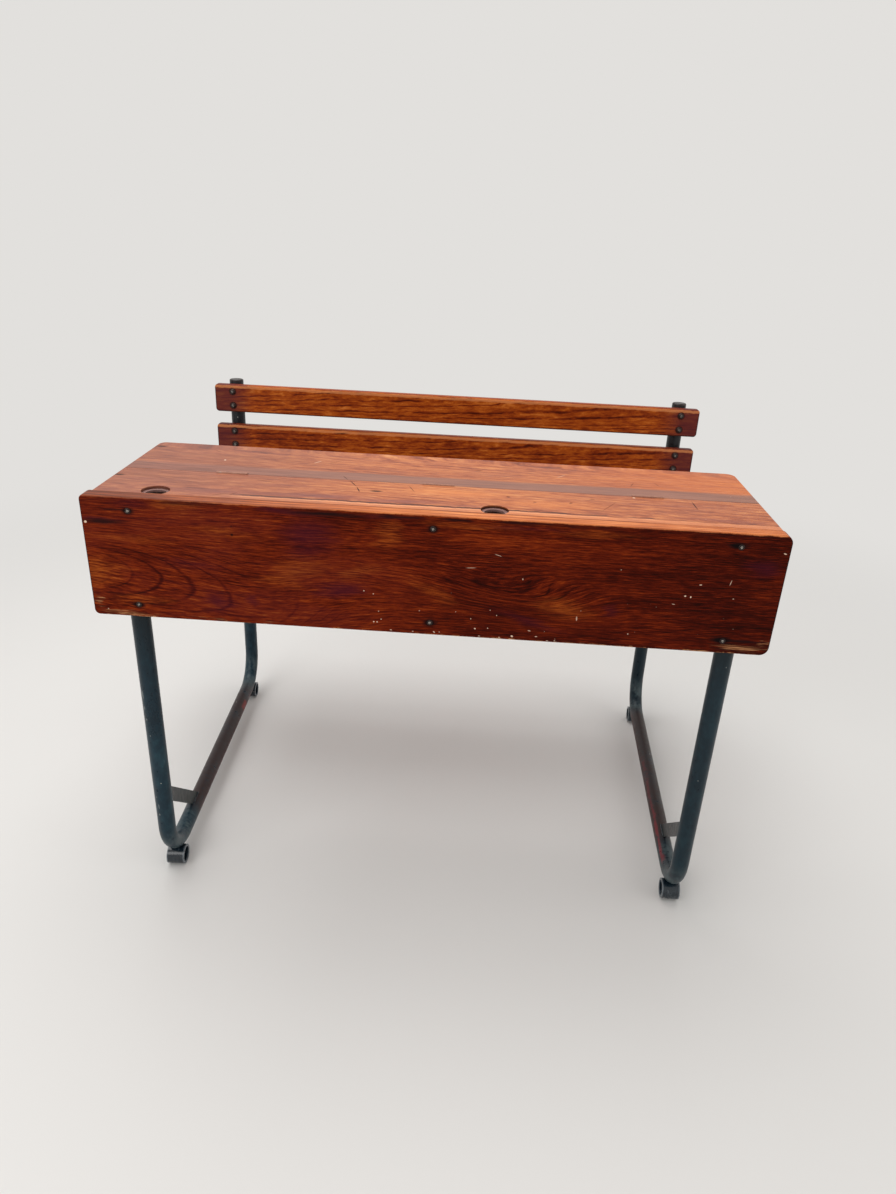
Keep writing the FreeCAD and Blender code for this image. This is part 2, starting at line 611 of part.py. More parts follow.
def end_panels():
    for name, side in SIDES.items():
        body = new_body(f"{name}_end_panel")
        plan = new_sketch(body, "XY_Plane", z="Sizes.box_floor")
        corners = [("outer_front", "board_back"), ("outer_back", "box_back"),
                   ("inner_back", "box_back"), ("inner_front", "board_back")]
        draw_chain(plan, [(f"{side} * Layout.{x}", f"Layout.{y}") for x, y in corners])
        pad(body, plan, "Layout.box_height")
        bore_for_cup(body)
        pilot = new_sketch(body, "XZ_Plane", z="-Layout.board_back")
        x = f"{side} * Layout.board_screw_x"
        draw_circle(pilot, x, "Layout.lower_screw_level", "Layout.pilot_radius")
        cut(body, pilot, "Layout.pilot_depth")
        through = sketch_on_frame(body, side)
        for u, level in frame_bolt_places():
            draw_circle(through, u, level, "Layout.bolt_hole")
        for u, level in panel_screw_places():
            draw_circle(through, u, level, "Layout.pilot_radius")
        cut(body, through, "4 * Sizes.tube_diameter", both_ways=True)
        seats = sketch_on_frame(body, side, f"{-side} * (Layout.tube_radius + Sizes.screw_sink)")
        for u, level in panel_screw_places():
            draw_circle(seats, u, level, "Layout.screw_seat_radius")
        cut(body, seats, "2 * Sizes.screw_sink", backward=side > 0)


def sketch_on_frame(body, side, offset="0"):
    """A sketch in a side frame's plane, for a body that isn't placed on that frame itself."""
    sketch = new_sketch(body, "YZ_Plane", x="Layout.leg_y", z=f"{side} * Layout.leg_x",
                        axis=DEPTH, angle=f"{-side} * Layout.frame_splay")
    if offset != "0":
        sketch.setExpression("AttachmentOffset.Base.x",
                             f"Layout.leg_y - {side} * sin(Layout.frame_splay) * ({offset})")
        sketch.setExpression("AttachmentOffset.Base.z",
                             f"{side} * Layout.leg_x + cos(Layout.frame_splay) * ({offset})")
    return sketch


def bore_for_cup(body):
    """The cup's bore runs on into a panel that stands under it."""
    bore = new_sketch(body, "XY_Plane", z="Layout.top_underside")
    for x in inkwell_places().values():
        draw_circle(bore, x, "Layout.inkwell_y", "Sizes.cup_diameter / 2 + Sizes.cup_clearance")
    cup_foot = "Layout.inkwell_seat + Sizes.cup_wall - Sizes.cup_height"
    cut(body, bore, f"Layout.top_underside - ({cup_foot} - Sizes.cup_clearance)", must_cut=False)


def frame_bolt_places():
    """Bolts through a side frame and its end panel, as distance along the frame and level."""
    return [("0", "Sizes.leg_bolt_height"), ("Sizes.arm_bolt_front", "Layout.arm_level"),
            ("Sizes.arm_bolt_rear", "Layout.arm_level")]


def panel_screw_places():
    """Screws from an end panel into the box bottom and the rear rail's end."""
    rail = "Layout.rail_screw_u"
    return [("Sizes.bottom_screw_front", "Layout.lower_screw_level"),
            ("Sizes.bottom_screw_rear", "Layout.lower_screw_level"),
            (rail, "Layout.box_floor_top + Sizes.rail_screw_rise"),
            (rail, "Layout.box_floor_top + 2 * Sizes.rail_screw_rise")]


def cut_panel_pilots(body, places):
    """Pilot holes in the ends of a board between the panels."""
    for side in SIDES.values():
        pilots = sketch_on_frame(body, side)
        for u, level in places:
            draw_circle(pilots, u, level, "Layout.pilot_radius")
        reach = "2 * (Layout.tube_radius + Sizes.screw_sink + Sizes.screw_length + Sizes.pilot_spare)"
        cut(body, pilots, reach, both_ways=True)


def box_bottom():
    body = new_body("box_bottom")
    plan = new_sketch(body, "XY_Plane", z="Sizes.box_floor")
    draw_chain(plan, [("-Layout.inner_front", "Layout.board_back"),
                      ("Layout.inner_front", "Layout.board_back"),
                      ("Layout.inner_rail", "Layout.box_inner_back"),
                      ("-Layout.inner_rail", "Layout.box_inner_back")])
    pad(body, plan, "Sizes.wood_thickness")
    front = new_sketch(body, "XZ_Plane", z="-Layout.board_back")
    draw_circle(front, "Sizes.middle_screw_shift", "Layout.lower_screw_level", "Layout.pilot_radius")
    cut(body, front, "Layout.pilot_depth")
    rear = new_sketch(body, "XZ_Plane", z="-Layout.box_inner_back")
    for x in rail_screw_places():
        draw_circle(rear, x, "Layout.lower_screw_level", "Layout.pilot_radius")
    depth = "Sizes.screw_length + Sizes.screw_sink - Sizes.wood_thickness + Sizes.pilot_spare"
    cut(body, rear, depth, backward=True)
    cut_panel_pilots(body, panel_screw_places()[:2])


def rail_screw_places():
    return [f"{step} * Sizes.rail_screw_spacing" for step in (-1, 0, 1)]


def rear_rail():
    body = new_body("rear_rail")
    plan = new_sketch(body, "XY_Plane", z="Sizes.box_floor")
    draw_chain(plan, [("-Layout.inner_rail", "Layout.box_inner_back"),
                      ("Layout.inner_rail", "Layout.box_inner_back"),
                      ("Layout.inner_back", "Layout.box_back"),
                      ("-Layout.inner_back", "Layout.box_back")])
    pad(body, plan, "Layout.box_height")
    holes = new_sketch(body, "XZ_Plane", z="-Layout.box_back")
    seats = new_sketch(body, "XZ_Plane", z="-Layout.box_back")
    for x in rail_screw_places():
        draw_circle(holes, x, "Layout.lower_screw_level", "Layout.pilot_radius")
        draw_circle(seats, x, "Layout.lower_screw_level", "Layout.screw_seat_radius")
    cut(body, holes, "Sizes.wood_thickness", backward=True)
    cut(body, seats, "Sizes.screw_sink", backward=True)
    cut_panel_pilots(body, panel_screw_places()[2:])


def centre_partition():
    body = new_body("centre_partition")
    plan = new_sketch(body, "XY_Plane", z="Layout.box_floor_top")
    half = "Sizes.partition_thickness / 2"
    draw_rectangle(plan, f"-{half}", half, "Layout.board_back", "Layout.box_inner_back")
    pad(body, plan, "Layout.top_underside - Layout.box_floor_top")


# ---------------------------------------------------------------- side frames


def side_frames():
    for name, side in SIDES.items():
        body = new_body(f"{name}_side_frame")
        place_on_frame(body, side)
        bend = "Sizes.bend_radius"
        floor_bend = ("Sizes.bend_radius", "Layout.bend_level", bend)
        top_bend = ("Sizes.bend_radius", "Layout.arm_level - Sizes.bend_radius", bend)
        rear_bend = ("Layout.rear_bend", "Layout.bend_level", bend)
        path = new_sketch(body, "YZ_Plane")
        corners = [("Sizes.arm_length", "Layout.arm_level"),
                   ("Sizes.bend_radius", "Layout.arm_level"),
                   ("0", "Layout.arm_level - Sizes.bend_radius"),
                   ("0", "Layout.bend_level"),
                   ("Sizes.bend_radius", "Sizes.base_height"),
                   ("Layout.rear_bend", "Sizes.base_height"),
                   ("Layout.rear_bend + Sizes.bend_radius * cos(Sizes.post_lean)",
                    "Layout.bend_level - Sizes.bend_radius * sin(Sizes.post_lean)"),
                   ("Layout.post_end_u", "Layout.post_end_level")]
        draw_chain(path, corners, {1: top_bend, 3: floor_bend, 5: rear_bend}, closed=False)
        ring = new_sketch(body, "XZ_Plane", y="Layout.arm_level", z="-Sizes.arm_length")
        draw_circle(ring, "0", "0", "Layout.tube_radius")
        draw_circle(ring, "0", "0", "Layout.tube_radius - Sizes.tube_wall")
        pipe = body.newObject("PartDesign::AdditivePipe", f"{body.Name}Tube")
        pipe.Profile = ring
        pipe.Spine = (path, [f"Edge{index}" for index in range(1, len(corners))])
        document.recompute()
        check_state(pipe)
        across = new_sketch(body, "YZ_Plane")
        for u, level in frame_bolt_places():
            draw_circle(across, u, level, "Layout.bolt_hole")
        cut(body, across, "2 * Sizes.tube_diameter", both_ways=True)
        back = new_sketch(body, "XZ_Plane", z="-Sizes.frame_length",
                          axis=ACROSS, angle="-Sizes.post_lean")
        for level in backrest_bolt_levels():
            draw_circle(back, "0", level, "Layout.bolt_hole")
        cut(body, back, "2 * Sizes.tube_diameter", both_ways=True)


def tube_cap(body, plane, tube_radius, wall, toward=1, **offsets):
    """A plug for a tube's open end: a stem inside the tube and a rounded head that covers its rim."""
    head = new_sketch(body, plane, **offsets)
    stem = new_sketch(body, plane, **offsets)
    draw_circle(head, "0", "0", tube_radius)
    draw_circle(stem, "0", "0", f"{tube_radius} - {wall} - Sizes.cap_clearance")
    pad(body, head, "Sizes.cap_height", backward=toward < 0)
    round_far_edges(body, head.Placement.Rotation.multVec(UP) * toward, "Sizes.cap_height * 4 / 5")
    pad(body, stem, "Sizes.cap_stem", backward=toward > 0)


def tube_caps():
    for name, side in SIDES.items():
        post_cap = new_body(f"{name}_post_cap")
        place_on_frame(post_cap, side)
        tube_cap(post_cap, "XY_Plane", "Layout.tube_radius", "Sizes.tube_wall", y="Layout.post_end_u",
                 z="Layout.post_end_level", axis=ACROSS, angle="-Sizes.post_lean")
        arm_cap = new_body(f"{name}_arm_cap")
        place_on_frame(arm_cap, side)
        tube_cap(arm_cap, "XZ_Plane", "Layout.tube_radius", "Sizes.tube_wall", toward=-1,
                 y="Layout.arm_level", z="-Sizes.arm_length")
        seat_cap = new_body(f"{name}_seat_arm_cap")
        place_on_frame(seat_cap, side)
        tube_cap(seat_cap, "XZ_Plane", "Layout.arm_tube_radius", "Sizes.tube_wall",
                 y="Sizes.seat_arm_height", z="-Sizes.seat_arm_front")


def feet():
    """Short cross tubes, saddle cut to the outside of the two lower bends."""
    bends = {"front": ("Sizes.bend_radius", -1), "rear": ("Layout.rear_bend", 1)}
    for name, side in SIDES.items():
        for end, (centre, direction) in bends.items():
            body = new_body(f"{name}_{end}_foot")
            place_on_frame(body, side)
            ring = new_sketch(body, "YZ_Plane")
            at = f"{centre} + {direction} * Sizes.foot_offset"
            outside = "Sizes.foot_diameter / 2"
            draw_circle(ring, at, outside, outside)
            draw_circle(ring, at, outside, f"{outside} - Sizes.foot_wall")
            pad(body, ring, "Sizes.foot_length", both_ways=True)
            saddle = new_sketch(body, "XY_Plane", y=centre, z="Layout.bend_level")
            draw_circle(saddle, "0", f"{direction} * Sizes.bend_radius",
                        "Layout.tube_radius + Sizes.weld_gap")
            turn(body, saddle, "H_Axis", cutting=True)


def flat_bar(name, side, corners):
    body = new_body(name)
    place_on_frame(body, side)
    outline = new_sketch(body, "YZ_Plane")
    draw_chain(outline, corners)
    pad(body, outline, "Sizes.bar_thickness", both_ways=True)


def front_braces():
    """Flat bars from the back of the front leg down to the base tube."""
    slope = "atan(Sizes.brace_rise / Sizes.brace_reach)"
    leg = "Layout.tube_radius"
    base = "Sizes.base_height + Layout.tube_radius"
    corners = [(leg, f"{base} + Sizes.brace_rise"),
               (leg, f"{base} + Sizes.brace_rise - Sizes.bar_width / cos({slope})"),
               (f"{leg} + Sizes.brace_reach - Sizes.bar_width / sin({slope})", base),
               (f"{leg} + Sizes.brace_reach", base)]
    for name, side in SIDES.items():
        flat_bar(f"{name}_front_brace", side, corners)


def post_front(level):
    """The rear leg's front surface at a level, along the frame."""
    axis = f"Sizes.frame_length + ({level}) * tan(Sizes.post_lean)"
    return f"{axis} - Layout.tube_radius / cos(Sizes.post_lean)"


def seat_struts():
    """Flat bars from under the seat arms down to the rear legs."""
    slope = "atan(Sizes.strut_drop / Sizes.strut_reach)"
    under = "Sizes.seat_arm_height - Layout.arm_tube_radius"
    low = f"{under} - Sizes.strut_drop"
    high = f"{low} + Sizes.bar_width / cos({slope})"
    front = f"{post_front(under)} - Sizes.strut_reach"
    corners = [(front, under), (post_front(low), low), (post_front(high), high),
               (f"{front} + Sizes.bar_width / sin({slope})", under)]
    for name, side in SIDES.items():
        flat_bar(f"{name}_seat_strut", side, corners)


def seat_arms():
    """Tubes that reach forward from the rear legs, cut to fit round them."""
    for name, side in SIDES.items():
        body = new_body(f"{name}_seat_arm")
        place_on_frame(body, side)
        ring = new_sketch(body, "XZ_Plane", y="Sizes.seat_arm_height", z="-Layout.seat_post")
        draw_circle(ring, "0", "0", "Layout.arm_tube_radius")
        draw_circle(ring, "0", "0", "Layout.arm_tube_radius - Sizes.tube_wall")
        pad(body, ring, "Layout.seat_post - Sizes.seat_arm_front")
        cope = new_sketch(body, "XY_Plane", y="Layout.seat_post", z="Sizes.seat_arm_height",
                          axis=ACROSS, angle="-Sizes.post_lean")
        draw_circle(cope, "0", "0", "Layout.tube_radius + Sizes.weld_gap")
        cut(body, cope, "3 * Sizes.arm_tube_diameter", both_ways=True)
        holes = new_sketch(body, "XY_Plane", z="Sizes.seat_arm_height")
        for middle in seat_slat_middles().values():
            u = f"({middle} - Layout.leg_y) / cos(Layout.frame_splay)"
            draw_circle(holes, "0", u, "Layout.bolt_hole")
        cut(body, holes, "2 * Sizes.arm_tube_diameter", both_ways=True)


# ---------------------------------------------------------------- backrest and seat


def backrest_bolt_levels():
    levels = []
    for middle in ("Layout.slat_middle_upper", "Layout.slat_middle_lower"):
        for step in (1, -1):
            levels.append(f"{middle} + {step} * Sizes.bolt_pitch / 2")
    return levels


def backrest_slats():
    for name in ("upper", "lower"):
        body = new_body(f"backrest_slat_{name}")
        place_on_posts(body)
        face = new_sketch(body, "XZ_Plane", z="-Layout.slat_face")
        middle = f"Layout.slat_middle_{name}"
        half = "Sizes.slat_length / 2"
        draw_rectangle(face, f"-{half}", half,
                       f"{middle} - Sizes.slat_width / 2", f"{middle} + Sizes.slat_width / 2")
        pad(body, face, "Sizes.slat_thickness", backward=True)
        round_slat(body, DEPTH, "Layout.slat_face", "Layout.slat_back")
        holes = new_sketch(body, "XZ_Plane", z="-Layout.slat_face")
        for step in (1, -1):
            for side in SIDES.values():
                level = f"{middle} + {step} * Sizes.bolt_pitch / 2"
                draw_circle(holes, f"{side} * Layout.post_x", level,
                            "Layout.bolt_radius + Sizes.pilot_clearance")
        cut(body, holes, "Sizes.slat_thickness")


def round_slat(body, axis, near, far):
    """Round a slat's four end corners, then the outlines of both its faces."""
    ends = ("Sizes.slat_length / 2", "-Sizes.slat_length / 2")
    round_edges(body, "Sizes.slat_corner",
                lambda edge: runs_along(edge, axis) and any(lies_at(edge, ACROSS, end) for end in ends))
    round_edges(body, "Sizes.slat_round",
                lambda edge: lies_at(edge, axis, near) or lies_at(edge, axis, far))


def seat_slat_middles():
    """Middle of each seat slat along Y."""
    middles = {}
    for index, name in enumerate(("front", "middle", "rear")):
        pitch = "(Layout.seat_slat_width + Sizes.seat_gap)"
        middles[name] = f"(Layout.seat_start + Layout.seat_slat_width / 2 + {index} * {pitch})"
    return middles


def seat_bolt_x(middle, side):
    return f"{side} * (Layout.leg_x + ({middle} - Layout.leg_y) * Layout.panel_slope)"


def seat_slats():
    for name, middle in seat_slat_middles().items():
        body = new_body(f"seat_slat_{name}")
        plan = new_sketch(body, "XY_Plane", z="Layout.seat_underside")
        half = "Sizes.slat_length / 2"
        draw_rectangle(plan, f"-{half}", half, f"{middle} - Layout.seat_slat_width / 2",
                       f"{middle} + Layout.seat_slat_width / 2")
        pad(body, plan, "Sizes.wood_thickness")
        round_slat(body, UP, "Layout.seat_underside", "Layout.seat_top")
        holes = new_sketch(body, "XY_Plane", z="Layout.seat_top")
        seats = new_sketch(body, "XY_Plane", z="Layout.seat_top")
        for side in SIDES.values():
            x = seat_bolt_x(middle, side)
            draw_circle(holes, x, middle, "Layout.bolt_radius + Sizes.pilot_clearance")
            draw_circle(seats, x, middle, "Sizes.bolt_head / 2 + Sizes.bolt_clearance")
        cut(body, holes, "Sizes.wood_thickness")
        cut(body, seats, "Sizes.bolt_sink")


# ---------------------------------------------------------------- hinges


def hinge_leaf(name, position, inward, knuckles, neck):
    """One leaf with its knuckles. inward is the side of the axis that the leaf lies on."""
    body = new_body(name)
    place(body, position, "Layout.hinge_y", "Layout.top_level")
    inner = "(Sizes.knuckle_diameter / 2 + Sizes.lid_gap / 2)"
    outline = new_sketch(body, "XZ_Plane", z=f"{-inward} * Sizes.lid_gap / 2")
    half = "Sizes.hinge_length / 2"
    low = "-Sizes.leaf_height"
    if inward > 0:
        corners = [(f"-{half}", low), (half, low), (half, f"-{inner}"), (neck, f"-{inner}"),
                   (neck, "0"), (f"-{neck}", "0"), (f"-{neck}", f"-{inner}"), (f"-{half}", f"-{inner}")]
    else:
        corners = [(f"-{half}", low), (half, low), (half, "0"), (neck, "0"), (neck, f"-{inner}"),
                   (f"-{neck}", f"-{inner}"), (f"-{neck}", "0"), (f"-{half}", "0")]
    draw_chain(outline, corners)
    pad(body, outline, "Sizes.leaf_thickness", backward=inward > 0)
    for start, length in knuckles:
        ring = new_sketch(body, "YZ_Plane", z=start)
        draw_circle(ring, "0", "0", "Sizes.knuckle_diameter / 2")
        pad(body, ring, length)
    bore = new_sketch(body, "YZ_Plane")
    spare = "Sizes.pin_clearance" if inward > 0 else "0"
    draw_circle(bore, "0", "0", f"Sizes.pin_diameter / 2 + {spare}")
    cut(body, bore, "2 * Sizes.hinge_length", both_ways=True)
    holes = new_sketch(body, "XZ_Plane", z=f"{-inward} * Sizes.lid_gap / 2")
    seats = new_sketch(body, "XZ_Plane", z=f"{-inward} * Sizes.lid_gap / 2")
    for step in (-1, 1):
        x = f"{step} * Sizes.hinge_screw_spacing"
        draw_circle(holes, x, "-Sizes.hinge_screw_drop", "Layout.small_pilot_radius")
        draw_circle(seats, x, "-Sizes.hinge_screw_drop", "Layout.small_seat_radius")
    cut(body, holes, "Sizes.leaf_thickness", backward=inward < 0)
    cut(body, seats, "Sizes.leaf_thickness / 2", backward=inward < 0)


def hinge_places():
    return {"left": "-Sizes.hinge_spacing", "middle": "0", "right": "Sizes.hinge_spacing"}


def hinges():
    lid_half = "Sizes.lid_knuckle_length / 2"
    rail_start = f"({lid_half} + Sizes.knuckle_gap)"
    rail_length = f"Sizes.hinge_length / 2 - {rail_start}"
    for name, position in hinge_places().items():
        outer = [(rail_start, rail_length), ("-Sizes.hinge_length / 2", rail_length)]
        hinge_leaf(f"{name}_hinge_rail_leaf", position, -1, outer, rail_start)
        inner = [(f"-{lid_half}", "Sizes.lid_knuckle_length")]
        hinge_leaf(f"{name}_hinge_lid_leaf", position, 1, inner, lid_half)
        pin = new_body(f"{name}_hinge_pin")
        place(pin, position, "Layout.hinge_y", "Layout.top_level")
        section = new_sketch(pin, "YZ_Plane")
        draw_circle(section, "0", "0", "Sizes.pin_diameter / 2")
        pad(pin, section, "Sizes.hinge_length", both_ways=True)


# ---------------------------------------------------------------- fixings


def fixings(body, plane, seat, places, head, head_height, shank, length, toward=1, domed=False):
    """Screws or bolts with their heads on one plane, standing off it on the side given by toward."""
    heads = new_sketch(body, plane, z=seat)
    shanks = new_sketch(body, plane, z=seat)
    for x, y in places:
        draw_circle(heads, x, y, f"{head} / 2")
        draw_circle(shanks, x, y, f"{shank} / 2")
    pad(body, heads, head_height, backward=toward < 0)
    if domed:
        outward = heads.Placement.Rotation.multVec(UP) * toward
        round_far_edges(body, outward, f"{head_height} * 4 / 5")
    pad(body, shanks, length, backward=toward > 0)


def nuts(body, plane, seat, places, toward=1):
    """Nuts on one plane, standing off it on the side given by toward."""
    outline = new_sketch(body, plane, z=seat)
    for x, y in places:
        draw_hexagon(outline, x, y, "Sizes.nut_width")
        draw_circle(outline, x, y, "Layout.bolt_radius + Sizes.pilot_clearance")
    pad(body, outline, "Sizes.nut_height", backward=toward < 0)


def wood_screws():
    board = new_body("front_board_screws")
    fixings(board, "XZ_Plane", "-(Layout.front + Sizes.screw_sink)", board_screw_places(),
            *WOOD_SCREW, "Sizes.screw_length")
    rail = new_body("rear_rail_screws")
    places = [(x, "Layout.lower_screw_level") for x in rail_screw_places()]
    fixings(rail, "XZ_Plane", "-(Layout.box_back - Sizes.screw_sink)", places,
            *WOOD_SCREW, "Sizes.screw_length", toward=-1)
    batten = new_body("lid_batten_screws")
    fixings(batten, "XY_Plane", "Layout.top_underside - Sizes.batten_height + Sizes.screw_sink",
            batten_screw_places(), *WOOD_SCREW, "Sizes.batten_screw_length", toward=-1)
    for name, side in SIDES.items():
        panel = new_body(f"{name}_panel_screws")
        place_on_frame(panel, side)
        seat = f"{-side} * (Layout.tube_radius + Sizes.screw_sink)"
        fixings(panel, "YZ_Plane", seat, panel_screw_places(),
                *WOOD_SCREW, "Sizes.screw_length", toward=side)


def hinge_screws():
    places = []
    for position in hinge_places().values():
        for step in (-1, 1):
            x = f"{position} + {step} * Sizes.hinge_screw_spacing"
            places.append((x, "Layout.top_level - Sizes.hinge_screw_drop"))
    for name, edge, inward in (("rail", "Layout.rail_back", -1), ("lid", "Layout.lid_front", 1)):
        body = new_body(f"hinge_{name}_screws")
        seat = f"-({edge} + {inward} * Sizes.leaf_thickness / 2)"
        fixings(body, "XZ_Plane", seat, places, "Sizes.small_screw_head", "Sizes.leaf_thickness / 2",
                "Sizes.small_screw_shank", "Sizes.small_screw_length", toward=inward)


def frame_fixings():
    for name, side in SIDES.items():
        bolts = new_body(f"{name}_frame_bolts")
        place_on_frame(bolts, side)
        grip = "Sizes.tube_diameter + Sizes.wood_thickness"
        fixings(bolts, "YZ_Plane", f"{side} * Layout.tube_radius", frame_bolt_places(),
                *BOLT, f"{grip} + Sizes.nut_height + Sizes.bolt_tail", toward=side, domed=True)
        body = new_body(f"{name}_frame_nuts")
        place_on_frame(body, side)
        seat = f"{-side} * (Layout.tube_radius + Sizes.wood_thickness)"
        nuts(body, "YZ_Plane", seat, frame_bolt_places(), toward=-side)


def backrest_fixings():
    places = []
    for level in backrest_bolt_levels():
        for side in SIDES.values():
            places.append((f"{side} * Layout.post_x", level))
    bolts = new_body("backrest_bolts")
    place_on_posts(bolts)
    grip = "Sizes.slat_thickness + Sizes.slat_clearance + Sizes.tube_diameter"
    length = f"{grip} + Sizes.nut_height + Sizes.bolt_tail"
    fixings(bolts, "XZ_Plane", "-Layout.slat_face", places, *BOLT, length, domed=True)
    body = new_body("backrest_nuts")
    place_on_posts(body)
    nuts(body, "XZ_Plane", "-Layout.tube_radius", places, toward=-1)


def seat_fixings():
    places = []
    for middle in seat_slat_middles().values():
        for side in SIDES.values():
            places.append((seat_bolt_x(middle, side), middle))
    bolts = new_body("seat_bolts")
    grip = "Sizes.wood_thickness - Sizes.bolt_sink + Sizes.seat_clearance + Sizes.arm_tube_diameter"
    length = f"{grip} + Sizes.nut_height + Sizes.bolt_tail"
    fixings(bolts, "XY_Plane", "Layout.seat_top - Sizes.bolt_sink", places, *BOLT, length, domed=True)
    body = new_body("seat_nuts")
    nuts(body, "XY_Plane", "Sizes.seat_arm_height - Layout.arm_tube_radius", places, toward=-1)


# ---------------------------------------------------------------- build and write


def build():
    front_board()
    inkwell_rail()
    inkwell_cups()
    lid_board()
    lid_battens()
    end_panels()
    centre_partition()
    box_bottom()
    rear_rail()
    side_frames()
    tube_caps()
    feet()
    front_braces()
    seat_arms()
    seat_struts()
    seat_slats()
    backrest_slats()
    hinges()
    wood_screws()
    hinge_screws()
    frame_fixings()
    backrest_fixings()
    seat_fixings()
    document.recompute()


def write_parts():
    for item in document.Objects:
        check_state(item)
    for body in parts:
        if body.Shape.isNull() or not body.Shape.isValid():
            raise RuntimeError(f"{body.Label} has no valid shape")
    os.makedirs("parts", exist_ok=True)
    for body in parts:
        body.Shape.exportStep(f"parts/{body.Label}.step")
    print(f"{len(parts)} sub-parts, {sum(len(body.Shape.Solids) for body in parts)} solids")


build()
write_parts()
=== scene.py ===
"""School desk with a lift lid: varnished wood, enamelled tube frame, fixings, inkwells and hinges."""

import math
import random

import bmesh
import bpy
from mathutils import Matrix, Vector


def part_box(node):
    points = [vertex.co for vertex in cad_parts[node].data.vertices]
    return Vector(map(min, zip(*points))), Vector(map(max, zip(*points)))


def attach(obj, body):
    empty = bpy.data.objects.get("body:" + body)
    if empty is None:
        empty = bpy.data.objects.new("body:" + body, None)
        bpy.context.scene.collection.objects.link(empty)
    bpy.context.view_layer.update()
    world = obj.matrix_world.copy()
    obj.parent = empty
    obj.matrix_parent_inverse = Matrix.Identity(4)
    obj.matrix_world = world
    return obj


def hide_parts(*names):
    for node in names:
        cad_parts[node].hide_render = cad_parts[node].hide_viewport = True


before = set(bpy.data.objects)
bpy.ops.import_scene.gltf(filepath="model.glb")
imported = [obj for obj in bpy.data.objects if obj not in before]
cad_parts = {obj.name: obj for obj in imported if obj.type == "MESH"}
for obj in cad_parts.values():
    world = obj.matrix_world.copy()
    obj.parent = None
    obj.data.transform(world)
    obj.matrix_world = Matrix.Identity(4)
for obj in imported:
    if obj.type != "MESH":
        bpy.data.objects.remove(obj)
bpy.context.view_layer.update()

bl_info = {
    "name": "School Desk",
    "version": (1, 0, 0),
    "blender": (4, 5, 0),
    "location": "3D View > Sidebar > School Desk",
    "description": "Dresses a two-seat school desk in varnished wood and enamelled steel tube",
    "category": "Object",
}

BOARD_LOW, BOARD_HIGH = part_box("front_board")
LID_LOW, LID_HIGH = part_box("lid_board")
FACE = BOARD_LOW[1]
TOP = LID_HIGH[2]

# The side frames, in metres and degrees: front legs, spread, bends, tube and feet
LEG_X = 0.4626
LEG_Y = FACE + 0.0567
SPLAY = 2.157
LEAN = 1.5
TUBE = 0.015
BEND = 0.075
BASE = 0.040
REAR_BEND = 0.5931
FOOT_HALF = 0.016

# The backrest bolts' heads in the frame, and the inkwells' inside radius
BOLT_HEAD = 0.013
BOLT_RISE = 0.0045
INK_REACH = 0.015


def tone(red, green, blue):
    """Linear colour of a screen colour given in steps of 0 to 255."""
    steps = [value / 255 for value in (red, green, blue)]
    return tuple(((s + 0.055) / 1.055) ** 2.4 if s > 0.04045 else s / 12.92 for s in steps)


ENAMEL_TONE = (15, 43, 55)


# ---------------------------------------------------------------- settings


class DeskSizes(bpy.types.PropertyGroup):
    """Sizes of the pieces that are made here."""

    screw_head: bpy.props.FloatProperty(
        name="Screw head", description="Diameter of a board screw's head", default=0.0088, unit="LENGTH")
    screw_slot: bpy.props.FloatProperty(
        name="Screw slot", description="Width of a board screw's slot", default=0.0015, unit="LENGTH")
    bolt_head: bpy.props.FloatProperty(
        name="Bolt head", description="Diameter of a backrest bolt's head", default=0.0128, unit="LENGTH")
    bolt_slot: bpy.props.FloatProperty(
        name="Bolt slot", description="Width of a backrest bolt's slot", default=0.0016, unit="LENGTH")
    weld: bpy.props.FloatProperty(
        name="Weld", description="Width of the weld beads", default=0.0044, unit="LENGTH")
    ink_depth: bpy.props.FloatProperty(
        name="Ink depth", description="Ink below an inkwell's rim", default=0.009, unit="LENGTH")


class DeskColours(bpy.types.PropertyGroup):
    """Colours that a user may want to change: the middle tone of each finish."""

    board: bpy.props.FloatVectorProperty(
        name="Front board", description="Varnish of the front board", default=tone(98, 26, 4),
        subtype="COLOR")
    top: bpy.props.FloatVectorProperty(
        name="Desk top", description="Varnish of the desk top", default=tone(175, 98, 60), subtype="COLOR")
    box: bpy.props.FloatVectorProperty(
        name="Book box", description="Varnish of the book box", default=tone(96, 38, 17), subtype="COLOR")
    slats: bpy.props.FloatVectorProperty(
        name="Slats", description="Varnish of the slats", default=tone(132, 50, 8), subtype="COLOR")
    enamel: bpy.props.FloatVectorProperty(
        name="Enamel", description="Enamel of the tube frame", default=tone(*ENAMEL_TONE), subtype="COLOR")
    steel: bpy.props.FloatVectorProperty(
        name="Steel", description="Bare steel of screws and bolts", default=tone(150, 144, 136),
        subtype="COLOR")
    glaze: bpy.props.FloatVectorProperty(
        name="Inkwells", description="Glaze of the inkwells", default=tone(132, 100, 94), subtype="COLOR")
    floor: bpy.props.FloatVectorProperty(
        name="Floor", description="Floor and backdrop", default=tone(226, 224, 221), subtype="COLOR")


# ---------------------------------------------------------------- finishes


